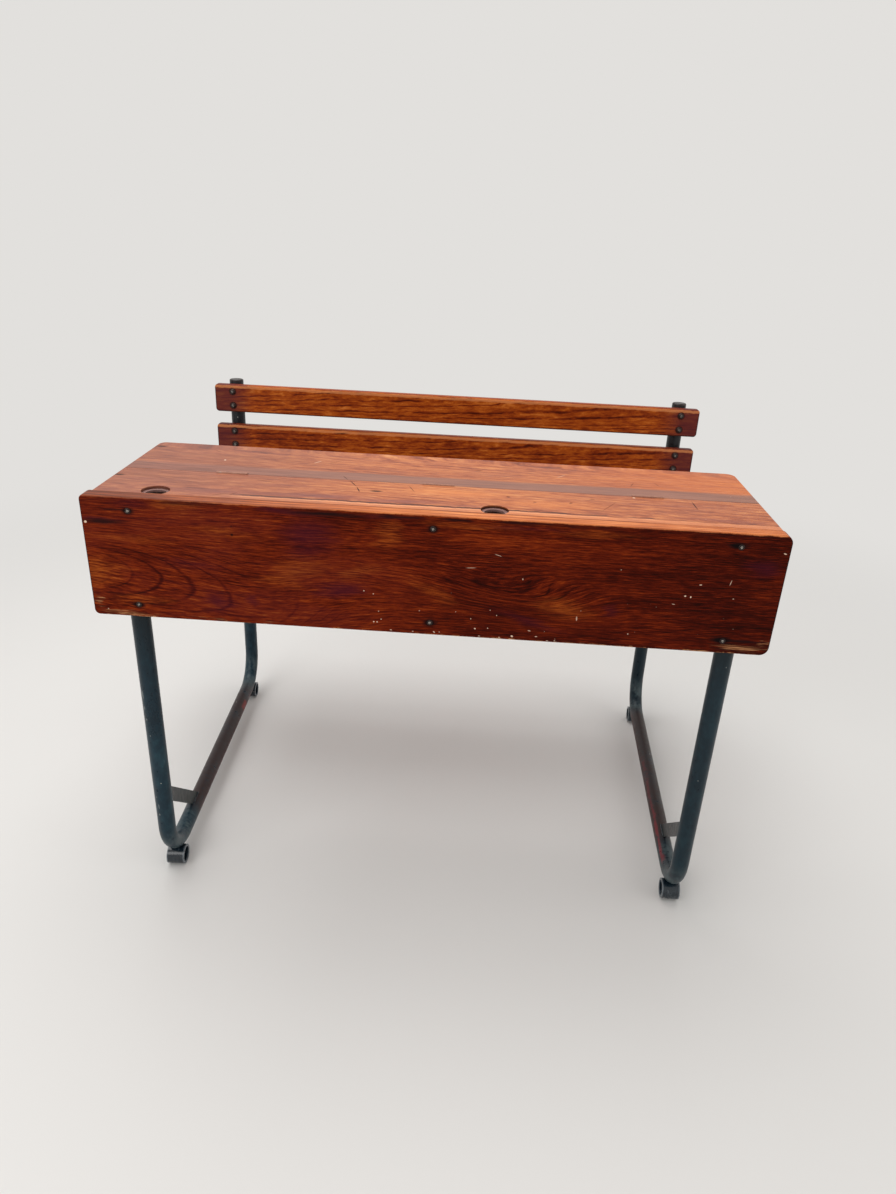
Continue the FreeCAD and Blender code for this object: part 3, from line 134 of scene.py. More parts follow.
class Finish:
    """A node material in the making. An argument is a plain value or another node's output."""

    def __init__(self, name, roughness=0.5, metallic=0.0, specular=0.5):
        self.material = bpy.data.materials.new(name)
        self.material.use_nodes = True
        self.nodes = self.material.node_tree.nodes
        self.links = self.material.node_tree.links
        self.nodes.clear()
        self.output = self.nodes.new("ShaderNodeOutputMaterial")
        self.shader = self.nodes.new("ShaderNodeBsdfPrincipled")
        self.links.new(self.shader.outputs["BSDF"], self.output.inputs["Surface"])
        self.shader.inputs["Roughness"].default_value = roughness
        self.shader.inputs["Metallic"].default_value = metallic
        self.shader.inputs["Specular IOR Level"].default_value = specular
        self.place = self.nodes.new("ShaderNodeTexCoord").outputs["Object"]
        self.x, self.y, self.z = self.split(self.place)

    def feed(self, socket, value):
        if isinstance(value, bpy.types.NodeSocket):
            self.links.new(value, socket)
        elif socket.type == "RGBA" and len(value) == 3:
            socket.default_value = (*value, 1.0)
        else:
            socket.default_value = value

    def math(self, operation, first, second=None, third=None):
        node = self.nodes.new("ShaderNodeMath")
        node.operation = operation
        for socket, value in zip(node.inputs, (first, second, third)):
            if value is not None:
                self.feed(socket, value)
        return node.outputs[0]

    def add(self, first, second):
        return self.math("ADD", first, second)

    def subtract(self, first, second):
        return self.math("SUBTRACT", first, second)

    def times(self, first, second):
        return self.math("MULTIPLY", first, second)

    def larger(self, first, second):
        return self.math("MAXIMUM", first, second)

    def size_of(self, value):
        return self.math("ABSOLUTE", value)

    def total(self, start, *shares):
        """Start plus each (value, middle, weight) as weight * (value - middle)."""
        for value, middle, weight in shares:
            start = self.math("MULTIPLY_ADD", value, weight, self.add(start, -middle * weight))
        return start

    def split(self, vector):
        node = self.nodes.new("ShaderNodeSeparateXYZ")
        self.links.new(vector, node.inputs[0])
        return node.outputs[0], node.outputs[1], node.outputs[2]

    def vector(self, x, y, z=0.0):
        node = self.nodes.new("ShaderNodeCombineXYZ")
        for socket, value in zip(node.inputs, (x, y, z)):
            self.feed(socket, value)
        return node.outputs[0]

    def stretch(self, vector, scale, shift=(0, 0, 0)):
        node = self.nodes.new("ShaderNodeMapping")
        self.links.new(vector, node.inputs["Vector"])
        node.inputs["Scale"].default_value = scale
        node.inputs["Location"].default_value = shift
        return node.outputs[0]

    def noise(self, vector, scale, detail=2.0, roughness=0.5, colour=False):
        node = self.nodes.new("ShaderNodeTexNoise")
        self.links.new(vector, node.inputs["Vector"])
        node.inputs["Scale"].default_value = scale
        node.inputs["Detail"].default_value = detail
        node.inputs["Roughness"].default_value = roughness
        return node.outputs["Color" if colour else "Fac"]

    def ease(self, value, low, high, start=0.0, end=1.0):
        """Smooth step from start at low to end at high."""
        node = self.nodes.new("ShaderNodeMapRange")
        node.interpolation_type = "SMOOTHSTEP"
        self.feed(node.inputs["Value"], value)
        if low > high:
            low, high, start, end = high, low, end, start
        node.inputs["From Min"].default_value = low
        node.inputs["From Max"].default_value = high
        node.inputs["To Min"].default_value = start
        node.inputs["To Max"].default_value = end
        return node.outputs[0]

    def between(self, value, low, high, edge):
        """1 between low and high, easing to 0 over the edge outside them."""
        return self.times(self.ease(value, low - edge, low), self.ease(value, high + edge, high))

    def ramp(self, value, stops):
        """Colour ramp of (place, colour) stops; a colour may be a single grey value."""
        node = self.nodes.new("ShaderNodeValToRGB")
        self.links.new(value, node.inputs[0])
        elements = node.color_ramp.elements
        while len(elements) < len(stops):
            elements.new(0.5)
        for element, (place, colour) in zip(elements, stops):
            element.position = place
            element.color = (*colour, 1.0) if isinstance(colour, tuple) else (colour, colour, colour, 1.0)
        return node.outputs["Color"]

    def mix(self, share, first, second):
        node = self.nodes.new("ShaderNodeMix")
        node.data_type = "RGBA"
        self.feed(node.inputs[0], share)
        self.feed(node.inputs[6], first)
        self.feed(node.inputs[7], second)
        return node.outputs[2]

    def over(self, base, mask, steps, share=None):
        """The base with a screen colour laid over it through a mask, at a share of its strength."""
        return self.mix(mask if share is None else self.times(mask, share), base, tone(*steps))

    def cells(self, scale, detail, roughness=0.5, shift=(0, 0, 0)):
        """Noise in cells to the metre along each of the object's own axes."""
        return self.noise(self.stretch(self.place, scale, shift), 1.0, detail, roughness)

    def stray(self, vector, scale, reach):
        """A place shifted by noise: scale in cells to the metre and reach in metres, on both axes."""
        node = self.nodes.new("ShaderNodeVectorMath")
        node.operation = "MULTIPLY_ADD"
        self.links.new(self.noise(self.stretch(vector, scale), 1.0, 3.0, colour=True), node.inputs[0])
        node.inputs[1].default_value = (2 * reach[0], 2 * reach[1], 0.0)
        self.links.new(self.stretch(vector, (1, 1, 1), (-reach[0], -reach[1], 0)), node.inputs[2])
        return node.outputs[0]

    def oval(self, vector, centre, radii, angle=0.0, edge=1.0):
        """Mask of an oval: 1 in the middle, 0 outside. Its edge is 1 for soft and near 0 for crisp."""
        node = self.nodes.new("ShaderNodeMapping")
        node.vector_type = "TEXTURE"
        self.links.new(vector, node.inputs["Vector"])
        node.inputs["Location"].default_value = (*centre, 0.0)
        node.inputs["Rotation"].default_value = (0, 0, math.radians(angle))
        node.inputs["Scale"].default_value = (*radii, 1.0)
        length = self.nodes.new("ShaderNodeVectorMath")
        length.operation = "LENGTH"
        self.links.new(node.outputs[0], length.inputs[0])
        return self.ease(length.outputs["Value"], 1.0, 1.0 - edge)

    def marks(self, vector, rows, edge=0.6):
        """Greatest of several ovals, each (across, up, half length, half height, angle, strength)."""
        strongest = 0.0
        for across, up, length, height, angle, strength in rows:
            mask = self.oval(vector, (across, up), (length, height), angle, edge)
            strongest = self.larger(self.times(mask, strength), strongest)
        return strongest

    def specks(self, vector, scale, size, share):
        """Scattered dots: size in cells, and the share of cells that hold one."""
        node = self.nodes.new("ShaderNodeTexVoronoi")
        self.links.new(vector, node.inputs["Vector"])
        node.inputs["Scale"].default_value = scale
        chosen = self.ease(self.split(node.outputs["Color"])[0], 1 - share - 0.01, 1 - share)
        return self.times(self.ease(node.outputs["Distance"], size, size * 0.6), chosen)

    def bump(self, height, distance):
        node = self.nodes.new("ShaderNodeBump")
        self.links.new(height, node.inputs["Height"])
        node.inputs["Distance"].default_value = distance
        return node.outputs[0]

    def finish(self, colour, roughness=None, normal=None):
        for name, value in (("Base Color", colour), ("Roughness", roughness), ("Normal", normal)):
            if value is not None:
                self.feed(self.shader.inputs[name], value)
        return self.material


def stained(palette, colour):
    """The stops of a palette, shifted so that its middle tone becomes the given colour."""
    middle = tone(*palette["middle"])
    share = [value / max(usual, 1e-4) for value, usual in zip(colour, middle)]
    return [(place, tuple(part * value for part, value in zip(share, tone(*shade))))
            for place, shade in palette["stops"]]


def coat_nodes(material, *names):
    """Give a finish to frame pieces by name."""
    for name in names:
        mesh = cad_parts[name].data
        mesh.materials.clear()
        mesh.materials.append(material)


def nodes_ending(*endings):
    return [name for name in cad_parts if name.endswith(endings)]


# ---------------------------------------------------------------- wood


class Wood(Finish):
    """A varnished board. Its axes run along, across and into the plank."""

    def __init__(self, name, axes="xzy", seed=0.0, specular=0.3, roughness=0.4):
        super().__init__(name, roughness, 0.0, specular)
        named = {"x": self.x, "y": self.y, "z": self.z}
        self.along, self.across, self.depth = (named[letter] for letter in axes)
        self.along = self.add(self.along, seed)
        self.flat = self.vector(named[axes[0]], named[axes[1]])

    def heart(self, middle, rise, depth=None):
        """Distance to the heart of the log: middle is its height, rise its depth behind the face."""
        level = self.math("POWER", self.subtract(self.across, middle), 2.0)
        if depth is not None:
            rise = self.add(rise, depth)
        return self.math("SQRT", self.add(level, self.math("POWER", rise, 2.0)))

    def waves(self, length, width, depth=0.0, detail=2.0, roughness=0.5):
        """Soft noise over the plank, in cells to the metre along and across it."""
        place = self.vector(self.times(self.along, length), self.times(self.across, width), depth)
        return self.noise(place, 1.0, detail, roughness)

    def swayed(self, flow, wide, tight, ripple):
        """The flow of the grain with long, short and fine waves, given as their heights in metres."""
        return self.total(flow, (self.waves(2.2, 7.0, self.depth), 0.5, 2 * wide),
                          (self.waves(13.0, 34.0, self.depth), 0.5, 2 * tight),
                          (self.waves(34.0, 60.0), 0.5, 2 * ripple))

    def streaks(self, flow, fineness, length, detail=3.0, roughness=0.6):
        """Streaks that follow the grain: fineness streaks and length streaks to the metre."""
        place = self.vector(
            self.times(self.along, length), self.times(flow, fineness), self.times(self.depth, length))
        return self.noise(place, 1.0, detail, roughness)

    def ring_lines(self, flow, width, thin=0.16):
        """Growth rings: thin dark lines, 1 at each, unevenly spaced about a width apart."""
        place = self.vector(self.times(flow, 0.35 / width), self.times(self.along, 0.7))
        uneven = self.noise(place, 1.0, 2.0)
        count = self.math("MULTIPLY_ADD", flow, 1 / width, self.times(uneven, 2.6))
        edge = self.math("PINGPONG", count, 0.5)
        return self.ease(edge, thin, 0.0)

    def varnish(self, value, palette, colour):
        return self.ramp(value, stained(palette, colour))


def metres(rows, start=0.0):
    """Marks given in millimetres and degrees: (across, up or back, half length, half height, angle,
    strength). The second measure runs from a start in metres."""
    return tuple((across / 1000, start + up / 1000, length / 1000, height / 1000, angle, strength)
                 for across, up, length, height, angle, strength in rows)


BOARD_TONES = {
    "middle": (104, 30, 6),
    "stops": (
        (0.04, (26, 3, 0)), (0.2, (48, 7, 1)), (0.36, (74, 14, 1)), (0.5, (104, 30, 6)),
        (0.64, (134, 48, 11)), (0.8, (162, 74, 24)), (1.0, (204, 124, 66)),
    ),
}
SLAT_TONES = {
    "middle": (132, 50, 8),
    "stops": (
        (0.06, (44, 8, 1)), (0.24, (76, 19, 2)), (0.4, (108, 35, 4)), (0.54, (134, 52, 8)),
        (0.7, (164, 76, 14)), (0.86, (192, 106, 40)), (1.0, (212, 136, 72)),
    ),
}
TOP_TONES = {
    "middle": (178, 92, 56),
    "stops": (
        (0.04, (84, 30, 20)), (0.2, (124, 54, 34)), (0.38, (158, 76, 46)), (0.5, (180, 94, 57)),
        (0.66, (202, 116, 70)), (0.84, (220, 142, 92)), (1.0, (234, 170, 122)),
    ),
}
BOX_TONES = {
    "middle": (96, 38, 17),
    "stops": (
        (0.08, (34, 12, 7)), (0.28, (62, 21, 9)), (0.48, (92, 34, 14)), (0.68, (122, 52, 22)),
        (0.92, (158, 82, 42)),
    ),
}


def board_flow(skin):
    """Front board's grain: arches low on the left, an eye right of the middle and a fold between."""
    depth = skin.subtract(skin.y, FACE)
    middle = skin.ease(skin.x, -0.52, -0.08, 0.640, 0.575)
    arches = skin.heart(middle, skin.ease(skin.x, -0.95, -0.05, 0.0, 0.11), depth)
    level = skin.add(skin.z, -0.551)
    near = skin.oval(skin.flat, (-0.42, 0.612), (0.40, 0.125), -6, 0.62)
    bent = skin.times(skin.subtract(arches, level), near)
    eye = skin.oval(skin.flat, (0.135, 0.636), (0.20, 0.052), -7)
    fold = skin.oval(skin.flat, (-0.15, 0.652), (0.13, 0.05), 14)
    bent = skin.total(bent, (eye, 0.0, 0.036), (fold, 0.0, -0.014))
    flow = skin.swayed(skin.add(level, bent), 0.004, 0.0016, 0.0005)
    fibre = skin.swayed(skin.total(level, (bent, 0.0, 0.36), (eye, 0.0, 0.014)), 0.003, 0.0012, 0.0006)
    return flow, fibre, near, eye


def board_varnish(colour):
    """Front board: deep red-brown, amber on the left, with plum stains, bare corners and a bleached edge."""
    skin = Wood("front_board_varnish", "xzy", specular=0.05)
    flow, fibre, near, eye = board_flow(skin)
    broad = skin.streaks(flow, 60, 2.0, 3.0)
    bands = skin.streaks(fibre, 150, 5.0, 3.0, 0.65)
    lines = skin.streaks(fibre, 600, 24.0, 3.0, 0.7)
    fine = skin.streaks(fibre, 1150, 64.0, 2.0)
    rings = skin.ring_lines(flow, 0.0078, 0.13)
    faint = skin.cells((7, 1, 20), 3.0, 0.6)
    arched = skin.times(near, skin.between(skin.x, -0.41, -0.27, 0.07))
    rings = skin.times(rings, skin.total(0.14, (arched, 0.0, 0.52), (eye, 0.0, 0.80), (faint, 0.5, 1.9)))
    clouds = skin.cells((5, 3, 16), 4.0, 0.62, (0.3, 0, 0))
    torn = skin.stray(skin.flat, (14, 80, 1), (0.035, 0.006))
    amber = skin.marks(torn, BOARD_MARKS["amber"], 1.0)
    plum = skin.marks(torn, BOARD_MARKS["plum"], 1.0)
    side = skin.total(skin.ease(skin.x, -0.14, 0.10, 0.52, 0.43), (skin.ease(skin.x, 0.12, 0.46), 0.0, -0.08))
    value = skin.total(side, (broad, 0.5, 0.28), (bands, 0.5, 0.34), (lines, 0.5, 0.80), (fine, 0.5, 0.80),
                       (clouds, 0.5, 0.50), (amber, 0.0, 0.14), (plum, 0.0, -0.06), (rings, 0.0, -0.26))
    wood = skin.varnish(value, BOARD_TONES, colour)
    glow = skin.ease(skin.total(lines, (fine, 0.5, 0.6)), 0.34, 0.66)
    glow = skin.mix(glow, tone(96, 34, 8), tone(190, 104, 36))
    wood = skin.mix(skin.times(amber, 0.36), wood, glow)
    reddened = skin.times(skin.ease(clouds, 0.42, 0.68), skin.ease(skin.x, 0.02, -0.14))
    wood = skin.over(wood, reddened, (80, 20, 24), 0.32)
    wood = skin.over(wood, plum, (70, 16, 32), 0.58)
    wood = skin.over(wood, skin.marks(torn, BOARD_MARKS["smears"], 0.8), (30, 11, 12))
    bare, wood = board_bare(skin, torn, lines, wood)
    wood = board_edges(skin, clouds, wood)
    stains = skin.marks(skin.flat, BOARD_MARKS["stains"], 0.75)
    wood = skin.over(wood, stains, (14, 6, 7))
    chips = board_chips(skin)
    wood = skin.over(wood, chips, (236, 204, 178))
    worn = skin.total(0.40, (lines, 0.5, 0.3), (bare, 0.0, 0.3), (chips, 0.0, 0.3), (clouds, 0.5, 0.2))
    pores = skin.streaks(fibre, 1500, 40.0, 1.0)
    relief = skin.total(0.0, (lines, 0.5, 0.5), (pores, 0.5, 0.35), (bare, 0.0, -0.8), (stains, 0.0, -0.7))
    return skin.finish(wood, worn, skin.bump(relief, 0.00035))


def board_bare(skin, torn, lines, wood):
    """Pale bare wood where the varnish has gone: the lower corners and flecks along the lower edge."""
    splinters = skin.streaks(skin.z, 620, 15.0, 3.0, 0.7)
    patches = skin.marks(torn, BOARD_MARKS["bare"], 1.0)
    low = skin.times(skin.ease(skin.z, BOARD_LOW[2] + 0.008, BOARD_LOW[2] + 0.001),
                     skin.cells((60, 1, 120), 3.0, 0.7))
    low = skin.total(low, (skin.ease(skin.x, -0.16, 0.02), 0.0, 0.05))
    flecks = skin.ease(low, 0.5, 0.58)
    bare = skin.larger(skin.ease(skin.total(patches, (splinters, 0.5, 2.6)), 0.34, 0.74), flecks)
    bare = skin.times(bare, skin.ease(skin.larger(patches, flecks), 0.0, 0.25))
    pale = skin.mix(skin.ease(lines, 0.40, 0.64), tone(100, 48, 26), tone(200, 144, 98))
    return bare, skin.mix(skin.times(bare, 0.85), wood, pale)


def board_edges(skin, clouds, wood):
    """The upper edge is bleached with a ragged border, with a dark line painted as shade along its rear
    arris; the ends are dark end grain.
    """
    ragged = skin.cells((46, 1, 46), 4.0, 0.7)
    height = skin.total(skin.z, (ragged, 0.5, 0.0045))
    upper = skin.ease(height, BOARD_HIGH[2] - 0.0026, BOARD_HIGH[2] - 0.0008)
    grain = skin.streaks(skin.y, 260, 9.0, 4.0, 0.7)
    dull = skin.ease(skin.x, -0.54, -0.04, 0.42, 0.0)
    value = skin.total(0.56, (grain, 0.5, 1.5), (clouds, 0.5, 0.6), (dull, 0.0, -1.0))
    bleached = skin.ramp(value, (
        (0.05, tone(96, 52, 40)), (0.3, tone(146, 80, 54)), (0.55, tone(192, 108, 62)),
        (0.8, tone(224, 142, 88)), (1.0, tone(242, 178, 126))))
    wood = skin.mix(upper, wood, bleached)
    lip = skin.times(skin.between(height, BOARD_HIGH[2] - 0.0060, BOARD_HIGH[2] - 0.0028, 0.0026),
                     skin.ease(clouds, 0.48, 0.64))
    wood = skin.over(wood, lip, (34, 8, 8), 0.65)
    # painted shade: a dark broken line along the rear arris of the top, where the board steps down to the
    # rail
    back = skin.total(skin.y, (ragged, 0.5, 0.004), (clouds, 0.5, 0.006))
    crack = skin.times(skin.ease(back, BOARD_HIGH[1] - 0.0066, BOARD_HIGH[1] - 0.0048),
                       skin.ease(skin.total(skin.x, (clouds, 0.5, 0.5)), -0.36, -0.26))
    crack = skin.times(crack, skin.ease(skin.total(skin.x, (ragged, 0.5, 1.2)), 0.52, 0.10, 0.35, 1.0))
    wood = skin.over(wood, crack, (58, 18, 13), 0.5)
    ends = skin.ease(skin.size_of(skin.x), BOARD_HIGH[0] - 0.0028, BOARD_HIGH[0] - 0.0008)
    ends = skin.times(ends, skin.ease(skin.z, BOARD_HIGH[2] - 0.003, BOARD_HIGH[2] - 0.012))
    return skin.over(wood, ends, (26, 8, 7), 0.8)


def board_chips(skin):
    """Pin-head chips through the varnish, most of them low on the right half, and two scratches."""
    low = skin.times(skin.ease(skin.z, 0.66, 0.58), skin.ease(skin.x, -0.14, 0.02))
    dots = skin.times(skin.specks(skin.place, 120, 0.09, 0.07), low)
    return skin.larger(dots, skin.marks(skin.flat, BOARD_MARKS["chips"], 0.5))


BOARD_MARKS = {
    "amber": metres((
        (-490, 640, 52, 34, 6, 1.0), (-372, 748, 50, 13, -3, 0.9), (-62, 722, 30, 28, 60, 0.9),
        (-105, 662, 50, 16, 12, 0.8), (-300, 712, 60, 16, -4, 0.6), (-200, 655, 70, 30, 16, 0.8),
        (200, 624, 60, 22, -12, 0.8), (-440, 694, 80, 10, 0, 0.4), (-440, 596, 70, 14, 4, 0.6),
        (60, 744, 100, 8, 0, 0.6), (230, 742, 80, 10, 0, 0.5), (0, 640, 60, 14, -30, 0.5),
    )),
    "plum": metres((
        (-175, 716, 62, 34, 0, 1.0), (-130, 632, 60, 18, 10, 1.0), (-180, 690, 50, 20, 0, 0.7),
        (-312, 600, 30, 22, 8, 0.9), (-268, 606, 12, 16, -50, 0.7), (474, 706, 40, 20, -6, 0.9),
        (-486, 722, 40, 5, -2, 0.9), (-210, 748, 70, 7, -4, 1.0), (-60, 750, 60, 5, 0, 0.8),
        (-430, 748, 40, 12, 0, 0.5), (150, 600, 80, 12, -16, 0.7), (-350, 660, 70, 10, -6, 0.5),
        (270, 626, 20, 14, 40, 0.6), (120, 745, 110, 4, 0, 0.5),
    )),
    "smears": metres((
        (-150, 749, 85, 6, 1, 0.9), (-50, 750.5, 50, 4, 0, 0.8), (30, 752.5, 40, 3, 0, 0.9),
        (130, 751.5, 55, 2.6, 0, 0.8), (-474, 717.5, 42, 7.5, -2, 0.9), (-455, 736.5, 26, 3, 0, 0.7),
        (452, 573, 40, 3.4, 0, 0.8), (474, 590, 44, 3, 0, 0.8),
    )),
    "bare": metres((
        (468, 577, 66, 10, 0, 0.9), (500, 588, 12, 14, 0, 0.5), (-452, 571, 80, 9, -2, 0.9),
        (-500, 590, 12, 30, 0, 0.5), (-330, 572, 60, 4, 0, 0.5), (-240, 572, 40, 3, 0, 0.4),
    )),
    "stains": metres((
        (-438, 736, 13.5, 8.5, 0, 1.0), (-438, 587, 13.5, 8.5, 0, 1.0), (3, 736, 11.5, 9.5, 0, 1.0),
        (3, 587, 14, 9.5, 0, 1.0), (433, 738, 21, 6.5, 0, 1.0), (436, 588, 22, 8.5, 0, 1.0),
        (-288, 709, 3, 3, 0, 0.9), (-288, 722, 2, 2.4, 0, 0.5), (12, 587.5, 6, 3, 20, 0.7),
    )),
    "chips": metres((
        (-502, 716, 2.7, 2.3, 20, 1.0), (500, 730, 3, 1.2, -20, 0.8), (372, 656, 1.9, 1.4, 10, 1.0),
        (380, 655, 1.3, 1.9, -10, 1.0), (391, 675, 2.4, 1.1, 8, 0.8), (433, 681, 0.6, 5.3, -12, 0.8),
        (357, 642, 2.9, 0.9, -8, 0.5), (220, 609, 1.3, 4.5, 4, 0.6), (441, 656, 1.4, 1, 0, 0.6),
        (-81, 583, 1.4, 1.3, 0, 1.0), (-76, 583, 1.2, 1.2, 0, 1.0), (-70, 588, 1, 1, 0, 0.9),
        (-96, 633, 1.4, 0.9, 0, 0.9), (-82, 629, 1, 1, 0, 0.8), (-74, 601, 1.1, 0.9, 0, 0.7),
        (-13, 606, 1, 1, 0, 0.6), (64, 598, 1, 1.1, 0, 0.7), (71, 582, 1.8, 1.4, -20, 0.9),
        (90, 584, 1, 1, 0, 0.8), (92, 614, 1.2, 0.8, 0, 0.6), (102, 606, 0.9, 1.2, 0, 0.7),
        (-55, 571, 2.2, 0.9, -10, 0.8), (-22, 571, 1.6, 0.8, 0, 0.7), (10, 572, 2.4, 1.2, -40, 0.8),
        (18, 572.5, 1.4, 0.8, 0, 0.6), (78, 570, 2, 0.8, 0, 0.7), (108, 570, 1.6, 0.9, 0, 0.7),
        (127, 573, 2.4, 1.8, -30, 0.9), (152, 584, 2.8, 0.9, -10, 0.7), (163, 575, 2.4, 0.8, 0, 0.8),
        (180, 569, 2.2, 0.8, 0, 0.7), (191, 570, 1.4, 0.8, 0, 0.7), (136, 667, 1.1, 2, 10, 0.6),
        (298, 589, 1.1, 1.6, 0, 0.6), (275, 691, 1.2, 0.9, 0, 0.5), (60, 680, 9, 0.7, 4, 0.5),
        (98, 702, 6.5, 0.6, -16, 0.6), (-486, 577, 1.3, 1.1, 0, 0.6),
    )),
}


def plank(skin, flow, grain):
    """Streaks, rings and clouds of a plain plank as one value, with its lines and clouds."""
    parts = []
    for fineness, length, share in grain["streaks"]:
        streak = skin.streaks(flow, fineness, length, 4.0, 0.7)
        parts.append((streak, 0.5, share))
    rings = skin.ring_lines(flow, grain["ring"], 0.2)
    rings = skin.times(rings, skin.ease(skin.streaks(flow, 260, 22.0), 0.38, 0.56))
    clouds = skin.waves(3.6, 10.0, skin.depth, 4.0, 0.6)
    value = skin.total(grain["level"], *parts, (clouds, 0.5, grain["clouds"]), (rings, 0.0, -grain["rings"]))
    return value, parts[1][0], clouds


def plank_relief(skin, lines, flow):
    pores = skin.streaks(flow, 1400, 36.0, 1.0)
    return skin.total(0.0, (lines, 0.5, 0.5), (pores, 0.5, 0.35))


TOP_GRAIN = {"streaks": ((60, 2.5, 0.34), (170, 10.0, 0.5), (420, 24.0, 0.9), (900, 44.0, 0.8)),
             "ring": 0.0065, "rings": 0.16, "clouds": 0.42, "level": 0.5}


def rail_varnish(colour):
    """Fixed plank of the top: pink-brown, plum in front, amber by the right inkwell, scored and dented."""
    skin = Wood("inkwell_rail_varnish", "xyz", 1.7, specular=0.2)
    depth = skin.subtract(TOP, skin.z)
    flow = skin.heart(FACE + 0.02, skin.add(0.15, skin.times(skin.x, 0.02)), depth)
    flow = skin.swayed(flow, 0.004, 0.0014, 0.0005)
    value, lines, clouds = plank(skin, flow, TOP_GRAIN)
    torn = skin.stray(skin.flat, (9, 60, 1), (0.03, 0.006))
    plum = skin.marks(torn, RAIL_MARKS["plum"], 1.0)
    amber = skin.marks(torn, RAIL_MARKS["amber"], 1.0)
    value = skin.total(value, (plum, 0.0, -0.12), (amber, 0.0, 0.1))
    wood = skin.varnish(value, TOP_TONES, colour)
    wood = skin.over(wood, plum, (128, 74, 72), 0.6)
    wood = skin.over(wood, amber, (214, 122, 58), 0.45)
    wood = rail_crack(skin, clouds, wood)
    # painted shade: the walls of the inkwell recesses darkened below the top
    recess_shade = skin.marks(skin.flat, [inkwell_hole(word) for word in ("left", "right")], 0.04)
    recess_shade = skin.times(recess_shade, skin.ease(skin.z, TOP - 0.0004, TOP - 0.0022))
    wood = skin.over(wood, recess_shade, (44, 17, 12), 0.9)
    return top_finish(skin, wood, lines, flow, clouds, RAIL_MARKS, 0.0)


def rail_crack(skin, clouds, wood):
    """A wavy crack along the rail behind the front board, a painted highlight along its near lip, and the
    paler wood before it.
    """
    ragged = skin.cells((30, 1, 1), 4.0, 0.7)
    back = skin.total(skin.y, (ragged, 0.5, 0.010), (clouds, 0.5, 0.008))
    begun = skin.ease(skin.total(skin.x, (clouds, 0.5, 0.1)), -0.33, -0.28)
    fresh = skin.times(skin.ease(back, FACE + 0.054, FACE + 0.048), begun)
    wood = skin.over(wood, fresh, (216, 134, 88), 0.55)
    open_length = skin.ease(skin.total(skin.x, (ragged, 0.5, 1.2)), 0.40, 0.00, 0.2, 1.0)
    reach = skin.times(begun, open_length)
    crack = skin.times(skin.between(back, FACE + 0.0520, FACE + 0.0562, 0.0012), reach)
    wood = skin.over(wood, crack, (54, 17, 13), 0.9)
    # painted highlight along the crack's near lip
    glint = skin.times(skin.between(back, FACE + 0.0460, FACE + 0.0495, 0.0014), reach)
    return skin.over(wood, glint, (240, 168, 120), 0.5)


def inkwell_hole(word):
    """Mark over an inkwell's recess, wide enough to take in its wall, for the painted shade in it."""
    low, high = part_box(f"{word}_inkwell_cup")
    return (low[0] + high[0]) / 2, (low[1] + high[1]) / 2, 0.023, 0.023, 0, 1.0


def lid_varnish(colour):
    """Lid: a dull grey-brown band by the hinged edge, crisp in front and soft behind, and small scars."""
    skin = Wood("lid_varnish", "xyz", 6.4, specular=0.2)
    depth = skin.subtract(TOP, skin.z)
    flow = skin.heart(FACE + 0.31, skin.add(0.12, skin.times(skin.x, -0.03)), depth)
    flow = skin.swayed(flow, 0.006, 0.0018, 0.0006)
    value, lines, clouds = plank(skin, flow, TOP_GRAIN)
    wood = skin.varnish(value, TOP_TONES, colour)
    right = skin.ease(skin.x, 0.1, 0.45)
    wood = skin.over(wood, right, (204, 104, 40), 0.4)
    edge = skin.total(skin.y, (clouds, 0.5, 0.012), (lines, 0.5, 0.008))
    level = skin.ease(skin.z, TOP - 0.004, TOP - 0.001)
    band = skin.times(skin.ease(edge, LID_LOW[1] + 0.046, LID_LOW[1] + 0.034), level)
    dull = skin.mix(skin.ease(lines, 0.30, 0.70), tone(128, 90, 78), tone(152, 108, 92))
    wood = skin.mix(skin.times(band, 0.93), wood, dull)
    return top_finish(skin, wood, lines, flow, clouds, LID_MARKS, skin.times(band, 0.1))


def top_finish(skin, wood, lines, flow, clouds, marks, duller):
    """Scores, dents and pale nicks over a plank of the top, greyed to the left, and its gloss and relief."""
    greyed = skin.times(skin.ease(skin.x, -0.02, -0.46), skin.ease(clouds, 0.2, 0.6, 0.5, 1.0))
    dusty = skin.mix(skin.ease(lines, 0.34, 0.66), tone(104, 60, 50), tone(146, 94, 80))
    wood = skin.mix(skin.times(greyed, 0.62), wood, dusty)
    cuts = skin.marks(skin.flat, marks["cuts"], 0.7)
    wood = skin.over(wood, cuts, (48, 22, 20))
    flecks = skin.times(skin.specks(skin.place, 60, 0.05, 0.05), 0.7)
    pale = skin.larger(skin.marks(skin.flat, marks["pale"], 0.6), flecks)
    wood = skin.over(wood, pale, (238, 214, 190))
    worn = skin.total(0.42, (lines, 0.5, 0.3), (clouds, 0.5, 0.25), (duller, 0.0, 1.0), (cuts, 0.0, 0.2))
    relief = skin.total(plank_relief(skin, lines, flow), (cuts, 0.0, -2.0), (pale, 0.0, -0.5))
    return skin.finish(wood, worn, skin.bump(relief, 0.0004))


